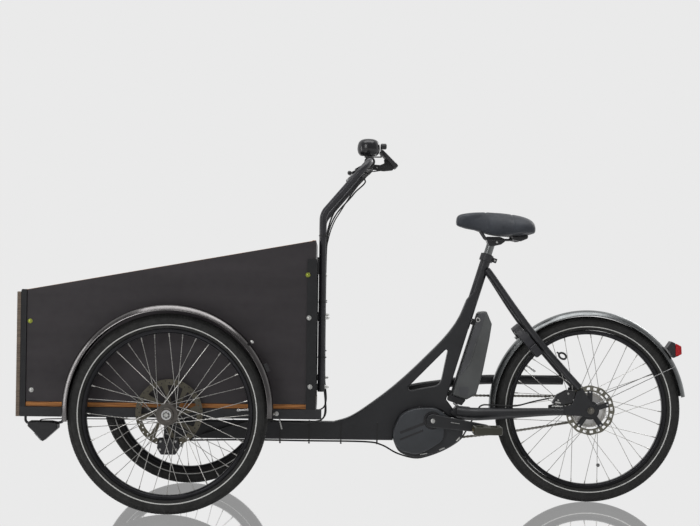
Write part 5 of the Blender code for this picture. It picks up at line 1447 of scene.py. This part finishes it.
def motor():
    housing = MOTOR_TOP + [(0.860, 0.280), (0.894, 0.258), (0.915, 0.232), (0.902, 0.200), (0.853, 0.168),
                           (0.801, 0.150), (0.762, 0.143), (0.714, 0.158), (0.694, 0.190)]
    shell = plate([smooth_loop(housing, 4), circle((CRANK.x, CRANK.z), 0.0146, 32)], -0.055, 0.040, 0.0045, 4)
    piece("motor_body", shell, "motor_dark", "rear_frame", "motor_shell", "motor_housing", sharp=40)
    cover = MOTOR_TOP + [(0.858, 0.275), (0.854, 0.240), (0.848, 0.203), (0.820, 0.180), (0.790, 0.163),
                         (0.762, 0.155), (0.735, 0.160), (0.714, 0.167), (0.695, 0.190)]
    lid = plate([smooth_loop(cover, 4), circle((CRANK.x, CRANK.z), 0.0146, 32)], -0.0700, -0.0553, 0.0042, 4)
    bands = []
    for x, z, reach, height in ((0.713, 0.2190, 0.090, 0.0085), (0.712, 0.1985, 0.076, 0.0060)):
        band = plate([rounded_outline(rectangle(x, x + reach, z, z + height), 0.002)], -0.0706, -0.0694,
                     0.0003)
        bands.append(paint(turn(band, -22, "Y", (x, 0, z)), 1))
    piece("motor_lid", merge(lid, *bands), ["motor", "plastic"], "rear_frame", "motor_shell",
          "motor_cover", sharp=40)
    rings = lathe([(0.0290, 0.0), (0.0290, 0.0022), (0.0262, 0.0026), (0.0258, 0.0012), (0.0225, 0.0012),
                   (0.0221, 0.0034), (0.0185, 0.0034), (0.0180, 0.0010), (0.0150, 0.0010), (0.0150, 0.0)], 64)
    turn(rings, 180, "X")
    piece("motor_rings", move(rings, CRANK.x, -0.0698, CRANK.z), "gloss", "rear_frame", "motor_shell")
    bolts = []
    for x, z in ((0.7744, 0.3002), (0.7030, 0.2430), (0.7690, 0.1640), (0.7060, 0.1780)):
        bolts.append(bolt((x, -0.0560, z), (0, -1, 0), 0.0062, 0.0030, washer=False))
    bolts.append(bolt((0.7820, -0.0700, 0.2310), (0, -1, 0), 0.0036, 0.0010, washer=False))
    piece("motor_bolts", merge(*bolts), "gloss", "rear_frame", "motor_shell")
    strips = []
    for line in MOTOR_STRIPS:
        strips.append(rod(*[(x, -0.0556, z) for x, z in line], 0.0022, 12, 0.0008))
    piece("motor_guard_strips", merge(*strips), "zinc", "rear_frame", "motor_shell")


def battery():
    """Grey shell with darker sides, a folded ridge, a recess and the lock, on its rail."""
    outline = tube_outline((0.0195, 0.0118), (0.0195, 0.060), (0.045, 0.0845), (0.116, 0.083),
                           (0.226, 0.071), (0.277, 0.063), (0.311, 0.034), (0.301, 0.0118))
    shell = plate([rounded_outline(outline[::-1], 0.006, 4)], -0.038, 0.038, 0.0055, 4)
    piece("battery_case", shell, "battery", "battery", "battery_shell", "battery", sharp=40)
    front = tube_outline((0.084, 0.0132), (0.295, 0.0132), (0.304, 0.0335), (0.2376, 0.0345),
                         (0.1367, 0.0367), (0.092, 0.0200))
    darker = []
    for side in (-1, 1):
        low, high = span(side, 0.0378, 0.0386)
        darker.append(plate([rounded_outline(front, 0.003, 3)], low, high, 0.0003, 2))
        recess = [(0.9011, 0.3700), (0.9334, 0.3703), (0.9305, 0.3400), (0.9030, 0.3450)]
        darker.append(plate([rounded_outline(recess, 0.003, 3)], low, high, 0.0003, 2))
    piece("battery_key_side", merge(*darker), "battery_dark", "battery", "battery_shell")
    ridges = []
    for side in (-1, 1):
        fold = tube_outline((0.2364, 0.0326), (0.1863, 0.0331), (0.1375, 0.0346), (0.0900, 0.0170))
        line = [(x, side * 0.0383, z) for x, z in fold]
        ridges.append(pipe(line, 0.0016, 8, [0.4, 1.0, 1.0, 0.3]))
    piece("battery_ridge", merge(*ridges), "battery", "battery", "battery_shell")
    x, z = BATTERY_LOCK
    lock = merge(rod((x, -0.0386, z), (x, -0.0412, z), 0.0075, 28, 0.0006),
                 paint(rod((x, -0.0412, z), (x, -0.0416, z), 0.0045, 20), 1))
    piece("battery_lock", lock, ["zinc", "plastic"], "battery", "battery_shell")
    rail = tube_outline((0.004, 0.0082), (0.295, 0.0082), (0.295, 0.0114), (0.004, 0.0114))
    shoe = tube_outline((-0.002, 0.0040), (0.0190, 0.0040), (0.0190, 0.060), (-0.0035, 0.052))
    dock = [plate([rail], -0.014, 0.014, 0.0008), plate([rounded_outline(shoe, 0.003)], -0.025, 0.025, 0.002)]
    for run in (0.012, 0.255):
        boss = tube_outline((run, 0.0010), (run, 0.0100), (run + 0.02, 0.0100), (run + 0.02, 0.0010))
        dock.append(plate([boss], -0.008, 0.008, 0.0005))
    piece("battery_rail", merge(*dock), "plastic", "rear_frame", "battery_shell", "battery_dock")
    plugs = [rod((0.8860, -0.020, 0.3180), (0.9000, -0.020, 0.3060), 0.0042, 16, 0.0005),
             rod((0.8930, -0.012, 0.3240), (0.9080, -0.012, 0.3170), 0.0042, 16, 0.0005)]
    piece("battery_plugs", merge(*plugs), "steel", "rear_frame", "battery_shell")


# ---------------------------------------------------------------- drive

CHAIN_PITCH = 0.0127
CHAIN_Y = 0.050
RING_TEETH = 36
SPROCKET_TEETH = 18
CHAIN_SAG = 0.008
SLACK_RUN = 0.3
CRANK_SLOPE = -7.9
CRANK_LENGTH = 0.170
RIGHT_PEDAL_TILT = -25


def pitch_radius(teeth):
    return CHAIN_PITCH / (2 * math.sin(math.pi / teeth))


def toothed_outline(teeth):
    radius = pitch_radius(teeth)
    outline = []
    for index in range(teeth):
        for step, reach in ((-0.34, -0.0040), (-0.12, 0.0022), (0.12, 0.0022), (0.34, -0.0040)):
            outline.append(polar(radius + reach, (index + 0.5 + step) * 360 / teeth))
    return outline


def chain_wheels():
    ring_radius = pitch_radius(RING_TEETH)
    loops = [toothed_outline(RING_TEETH), circle((0, 0), 0.0127, 32)]
    for index in range(5):
        loops.append(rounded_outline(sector(0.026, ring_radius - 0.013, index * 72 - 22, index * 72 + 22, 8),
                                     0.003, 2))
    ring = plate(loops, -0.0010, 0.0010, 0.0003, 1)
    piece("chainring_teeth", move(ring, CRANK.x, CHAIN_Y, CRANK.z), "frame", "crank", "drive_steel",
          "chainring")
    disc = plate([toothed_outline(SPROCKET_TEETH), circle((0, 0), 0.0180, 32)], -0.0010, 0.0010, 0.0003, 1)
    rim = lathe([(0.0260, -0.0028), (0.0260, 0.0028), (0.0181, 0.0028), (0.0181, -0.0028)], 48)
    piece("sprocket_teeth", move(merge(disc, rim), WHEELBASE, CHAIN_Y, AXLE_HEIGHT), "chain", "sprocket",
          "drive_steel", "rear_sprocket")


def sagged(line, depth):
    """The line with its lower straight run, found by its length, hung in a shallow curve."""
    loose = []
    for first, second in zip(line, line[1:]):
        loose.append(first)
        if abs(second[0] - first[0]) > SLACK_RUN and first[1] < CRANK.z:
            for step in range(1, 24):
                share = step / 24
                drop = depth * 4 * share * (1 - share)
                loose.append((first[0] + share * (second[0] - first[0]),
                              first[1] + share * (second[1] - first[1]) - drop))
    return loose + [line[-1]]


def chain_path():
    """Where every pin of the chain is on its closed line round both wheels, as (x, z)."""
    line = link_outline((CRANK.x, CRANK.z), pitch_radius(RING_TEETH), (WHEELBASE, AXLE_HEIGHT),
                        pitch_radius(SPROCKET_TEETH), (120, 60))
    line.append(line[0])
    line = sagged(line, CHAIN_SAG)
    lengths = [0.0]
    for first, second in zip(line, line[1:]):
        lengths.append(lengths[-1] + (Vector(second) - Vector(first)).length)
    pins = 2 * round(lengths[-1] / CHAIN_PITCH / 2)
    places = []
    segment = 0
    for index in range(pins):
        wanted = lengths[-1] * index / pins
        while lengths[segment + 1] < wanted:
            segment += 1
        share = (wanted - lengths[segment]) / (lengths[segment + 1] - lengths[segment])
        places.append(Vector(line[segment]).lerp(Vector(line[segment + 1]), share))
    return places


def chain():
    """Roller chain: narrow inner links and wider outer links in turn, with pins."""
    places = chain_path()
    shapes = []
    for index, (first, second) in enumerate(zip(places, places[1:] + places[:1])):
        along = second - first
        heading = math.degrees(math.atan2(along.y, along.x))
        half = 0.0029 if index % 2 else 0.0040
        waist = 0.0027
        length = along.length
        outline = (arc((0, 0), 0.0041, 60, 300, 5) + [(length / 2, -waist)]
                   + arc((length, 0), 0.0041, -120, 120, 5) + [(length / 2, waist)])
        for side in (-1, 1):
            low, high = span(side, half - 0.0010, half)
            link = turn(plate([outline], low, high), -heading, "Y")
            shapes.append(move(link, first.x, CHAIN_Y, first.y))
        shapes.append(rod((first.x, CHAIN_Y - 0.0045, first.y), (first.x, CHAIN_Y + 0.0045, first.y),
                          0.0019, 10))
    piece("chain_links", merge(*shapes), "chain", "rear_frame", "drive_steel", "chain")


def pedal_place(side):
    return polar(CRANK_LENGTH * -side, CRANK_SLOPE, (CRANK.x, CRANK.z))


def link_outline(first, first_radius, second, second_radius, steps=(14, 14)):
    """A bar with two round ends of unlike size."""
    run = Vector(second) - Vector(first)
    lean = math.degrees(math.acos((first_radius - second_radius) / run.length))
    heading = math.degrees(math.atan2(run.y, run.x))
    return (arc(first, first_radius, heading + lean, heading + 360 - lean, steps[0])
            + arc(second, second_radius, heading - lean, heading + lean, steps[1]))


def cranks():
    shapes = [rod((CRANK.x, -0.091, CRANK.z), (CRANK.x, 0.091, CRANK.z), 0.012, 32)]
    bright = []
    for side in (-1, 1):
        end = pedal_place(side)
        near, far = span(side, 0.078, 0.092)
        shapes.append(plate([link_outline((CRANK.x, CRANK.z), 0.021, end, 0.0135)], near, far, 0.0030, 3))
        shapes.append(rod((end[0], side * 0.087, end[1]), (end[0], side * 0.130, end[1]), 0.0055, 20))
        cap = (CRANK.x, side * 0.092, CRANK.z)
        shapes.append(move(lathe([(0.0150, side * 0.0012), (0.0150, -side * 0.001), (0.0105, -side * 0.001),
                                  (0.0100, side * 0.0004)], 40), *cap))
        bright.append(bolt(cap, (0, side, 0), 0.0070, 0.0020, washer=False))
        bright.append(rod((end[0], side * 0.0900, end[1]), (end[0], side * 0.0990, end[1]), 0.0078, 6))
    mark = pipe([(0.872, -0.0922, 0.2600), (0.900, -0.0922, 0.2562)], 0.0011, 8)
    piece("crank_arms", merge(*shapes), "frame", "crank", "crank_alloy", "crankset", sharp=40)
    piece("crank_bolts", merge(*bright, mark), "zinc", "crank", "crank_alloy")


def pedals():
    """Platform pedals with two windows, a barrel, grip pins and amber reflectors."""
    edge = rounded_outline(rectangle(-0.045, 0.045, -0.0425, 0.0425), 0.010, 5)
    windows = [rounded_outline(rectangle(x, x + 0.021, -0.033, 0.033), 0.004) for x in (-0.033, 0.012)]
    for side, word in SIDES:
        x, z = pedal_place(side)
        body = plate([edge, *windows], -0.012, 0.012, 0.0025, 3, lying=True)
        barrel = rod((0, -0.0400, 0), (0, 0.0400, 0), 0.0105, 24, 0.001)
        pins = []
        for px in (-0.040, 0.040):
            for py in (-0.028, -0.010, 0.010, 0.028):
                pins.append(rod((px, py, -0.0135), (px, py, 0.0135), 0.0016, 8))
        place = (x, side * 0.1425, z)
        tilt = RIGHT_PEDAL_TILT if side > 0 else 0
        body = turn(merge(body, barrel), tilt, "Y")
        piece(word + "_pedal_body", move(body, *place), "pedal", word + "_pedal", "pedal_black",
              word + "_pedal")
        plates = [brick((px, -0.024, -0.0060), (px + 0.0016, 0.024, 0.0060), 0.0004)
                  for px in (-0.0458, 0.0442)]
        for name, shapes, look in (("_pedal_reflectors", plates, "amber"), ("_pedal_pins", pins, "steel")):
            shape = turn(merge(*shapes), tilt, "Y")
            piece(word + name, move(shape, *place), look, word + "_pedal", "pedal_black")


# ---------------------------------------------------------------- ring lock

LOCK_ANGLE = 130.0
LOCK_CENTRE = 0.291
LOCK_RING = 0.058
LOCK_GAP = 40.0
KEY_BOW = Vector((1.2286, -0.0770, 0.4752))
KEY_SLANT = math.radians(-32)


def lock_matrix():
    """X radially outwards at the lock's angle, Y to the right, Z along the tyre."""
    x, z = polar(1, LOCK_ANGLE)
    outward = Vector((x, 0, z))
    across = Vector((0, 1, 0))
    along = outward.cross(across)
    matrix = Matrix((outward, across, along)).transposed().to_4x4()
    matrix.translation = Vector((WHEELBASE, 0, AXLE_HEIGHT)) + outward * LOCK_CENTRE + along * 0.013
    return matrix


def ring_lock():
    matrix = lock_matrix()
    start, stop = -180 + LOCK_GAP, 180 - LOCK_GAP
    walls = [plate([sector(LOCK_RING - 0.0100, LOCK_RING + 0.0100, start, stop, 64)], -0.0130, -0.0058,
                   0.0016, 3, lying=True)]
    for inner, outer in ((-0.0100, -0.0057), (0.0057, 0.0100)):
        walls.append(plate([sector(LOCK_RING + inner, LOCK_RING + outer, start, stop, 64)], -0.0070, 0.0130,
                           0.0014, 3, lying=True))
    drum = brick((-0.052, -0.0750, -0.0125), (-0.012, -0.0560, 0.0125), 0.004, 3)
    shape = transform(merge(*walls, drum), matrix)
    piece("ring_lock_body", shape, "lock_black", "rear_frame", "lock_black", "ring_lock", sharp=40)
    bolt_shape = plate([sector(LOCK_RING - 0.0046, LOCK_RING + 0.0046, 32, 132, 32)], -0.0045, 0.0045, 0.0008,
                       2, lying=True)
    tab = brick((LOCK_RING - 0.004, -0.005, 0.002), (LOCK_RING + 0.004, 0.005, 0.020), 0.0015, 3)
    turn(tab, 60, "Z")
    piece("ring_lock_bolt", transform(merge(bolt_shape, tab), matrix), "steel", "lock_shackle",
          "lock_steel", "lock_shackle")
    loop = []
    for step in range(33):
        angle = 2 * math.pi * step / 32
        x, z = 0.0125 * math.cos(angle), 0.0088 * math.sin(angle)
        loop.append((KEY_BOW.x + x * math.cos(KEY_SLANT) - z * math.sin(KEY_SLANT), KEY_BOW.y,
                     KEY_BOW.z + x * math.sin(KEY_SLANT) + z * math.cos(KEY_SLANT)))
    blade = pipe([(1.2100, KEY_BOW.y, 0.4870), (1.2170, KEY_BOW.y, 0.4832)], 0.0028, 10)
    piece("ring_lock_key", merge(pipe(loop, 0.0034, 10), blade), "plastic", "rear_frame", "lock_black")


# ---------------------------------------------------------------- saddle and post

SADDLE_SECTIONS = [
    # x, half width, top, bottom
    (0.887, 0.018, 0.918, 0.887),
    (0.896, 0.023, 0.928, 0.884),
    (0.930, 0.027, 0.932, 0.882),
    (0.962, 0.033, 0.932, 0.876),
    (0.992, 0.045, 0.930, 0.863),
    (1.030, 0.068, 0.928, 0.858),
    (1.068, 0.092, 0.926, 0.859),
    (1.104, 0.102, 0.922, 0.861),
    (1.132, 0.094, 0.911, 0.861),
    (1.143, 0.078, 0.896, 0.862),
]
SADDLE_SWELL = 0.006
SADDLE_PRESSURE = 4.0
SADDLE_FRAMES = 20
# x and z where a seam starts at the top, then x and z where it ends below
SEAMS = ((0.9858, 0.9206, 0.9930, 0.8654), (1.0673, 0.9184, 1.0712, 0.8599))
SEAM_HALF = 0.005
SEAM_DEPTH = 0.0016


def saddle_cage():
    """The saddle before it is stuffed: cross sections of a flat-bottomed shell."""
    shape = bmesh.new()
    rows = []
    for x, half, top, bottom in SADDLE_SECTIONS:
        shoulder = bottom + 0.62 * (top - bottom)
        ring = [(-half * 0.55, bottom + 0.004), (-half, bottom + 0.002), (-half * 1.01, shoulder),
                (-half * 0.62, top - 0.002), (0, top), (half * 0.62, top - 0.002), (half * 1.01, shoulder),
                (half, bottom + 0.002), (half * 0.55, bottom + 0.004), (0, bottom + 0.005)]
        rows.append([shape.verts.new((x, y, z)) for y, z in ring])
    for row, following in zip(rows, rows[1:]):
        for index in range(len(row)):
            other = (index + 1) % len(row)
            shape.faces.new((row[index], following[index], following[other], row[other]))
    shape.faces.new(rows[0])
    shape.faces.new(rows[-1][::-1])
    bmesh.ops.recalc_face_normals(shape, faces=shape.faces)
    return shape


def apply_modifiers(item):
    graph = bpy.context.evaluated_depsgraph_get()
    mesh = bpy.data.meshes.new_from_object(item.evaluated_get(graph))
    old = item.data
    item.modifiers.clear()
    item.data = mesh
    bpy.data.meshes.remove(old)


def stuff(item, pressure, frames, cap):
    """Blow a closed skin up with cloth simulation, let no point go further than the cap."""
    before = [vertex.co.copy() for vertex in item.data.vertices]
    cloth = item.modifiers.new("stuffing", "CLOTH")
    cloth.settings.quality = 6
    cloth.settings.mass = 0.3
    cloth.settings.tension_stiffness = 25
    cloth.settings.compression_stiffness = 25
    cloth.settings.bending_stiffness = 2
    cloth.settings.use_pressure = True
    cloth.settings.uniform_pressure_force = pressure
    cloth.settings.effector_weights.gravity = 0
    cloth.point_cache.frame_end = frames
    scene = bpy.context.scene
    for step in range(1, frames + 1):
        scene.frame_set(step)
    apply_modifiers(item)
    scene.frame_set(1)
    for vertex, old in zip(item.data.vertices, before):
        moved = vertex.co - old
        if moved.length > cap:
            vertex.co = old + moved.normalized() * cap


def saddle_seams(item):
    """Stitched grooves across the saddle where its three panels meet."""
    normals = [vertex.normal.copy() for vertex in item.data.vertices]
    for vertex, normal in zip(item.data.vertices, normals):
        place = vertex.co - AXIS
        for x_top, z_top, x_low, z_low in SEAMS:
            share = (z_top - place.z) / (z_top - z_low)
            apart = abs(place.x - (x_top + share * (x_low - x_top)))
            if apart < SEAM_HALF and normal.z > -0.4:
                vertex.co -= normal * SEAM_DEPTH * (0.5 + 0.5 * math.cos(math.pi * apart / SEAM_HALF))


def saddle():
    item = piece("saddle_pad", saddle_cage(), "saddle", None, "saddle_skin", sharp=180)
    item.modifiers.clear()
    soften = item.modifiers.new("soften", "SUBSURF")
    soften.levels = 2
    soften.render_levels = 2
    remesh = item.modifiers.new("even", "REMESH")
    remesh.mode = "VOXEL"
    remesh.voxel_size = 0.0045
    apply_modifiers(item)
    stuff(item, SADDLE_PRESSURE, SADDLE_FRAMES, SADDLE_SWELL)
    relax = item.modifiers.new("relax", "SMOOTH")
    relax.factor = 0.5
    relax.iterations = 3
    finer = item.modifiers.new("finer", "SUBSURF")
    finer.levels = 1
    finer.render_levels = 1
    apply_modifiers(item)
    saddle_seams(item)
    item.data.shade_smooth()
    item.data.materials.clear()
    item.data.materials.append(LOOKS["saddle"])
    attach(item, "seat")
    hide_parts("saddle")


def seat_post():
    tube = pipe([seat_axis(0.600), seat_axis(0.838)], 0.0134, 32)
    head = plate([rounded_outline([(0.984, 0.8560), (1.030, 0.8560), (1.048, 0.8485), (1.046, 0.8400),
                                   (1.034, 0.8310), (1.008, 0.8250), (0.996, 0.8260), (0.990, 0.8360)],
                                  0.004)], -0.0235, 0.0235, 0.0025, 3)
    rails = []
    for y in (-0.021, 0.021):
        path = rounded([(0.968, y, 0.8740), (0.986, y, 0.8465), (1.066, y, 0.8465), (1.094, y, 0.8620)],
                       0.015, 8)
        rails.append(pipe(path, 0.0035, 16))
    piece("post_tube", tube, "post", "seat", "post_alloy", "seat_post")
    piece("post_head", merge(head, *rails), "gloss", "seat", "post_alloy")
    springs = []
    for y in (-0.045, 0.045):
        cheek = rounded_outline([(1.064, 0.8560), (1.118, 0.8620), (1.116, 0.8500), (1.094, 0.8410),
                                 (1.070, 0.8440)], 0.005)
        springs.append(plate([cheek], y - 0.012, y + 0.012, 0.003, 3))
        springs.append(rod((1.080, y, 0.8440), (1.092, y, 0.8640), 0.0095, 20, 0.002))
    bridge = rounded_outline([(1.060, -0.050), (1.100, -0.050), (1.112, 0.0), (1.100, 0.050), (1.060, 0.050),
                              (1.052, 0.0)], 0.010)
    springs.append(plate([bridge], 0.8560, 0.8620, 0.0015, 2, lying=True))
    piece("saddle_springs", merge(*springs), "gloss", "seat", "post_alloy")
    screws = [bolt((1.020, side * 0.0235, 0.8385), (0, side, 0), 0.0042, 0.0022, washer=False)
              for side in (-1, 1)]
    piece("post_bolts", merge(*screws), "zinc", "seat", "post_alloy")


# ---------------------------------------------------------------- making


def main():
    bpy.context.scene.view_settings.view_transform = "Standard"
    camera()
    studio()
    floor()
    front_wheels()
    rear_wheel()
    front_guards()
    rear_guard()
    for make in (box_panels, box_frame, box_bolts, push_bar, grips, brake_levers, bell, display,
                 front_hoses, cables, steering_link, rear_hose, headlight, tail_light, calipers, frame_spine,
                 seat_clamp, stays, axle_nuts, motor, battery, chain_wheels, chain, cranks, pedals, ring_lock,
                 seat_post, saddle):
        make()


main()
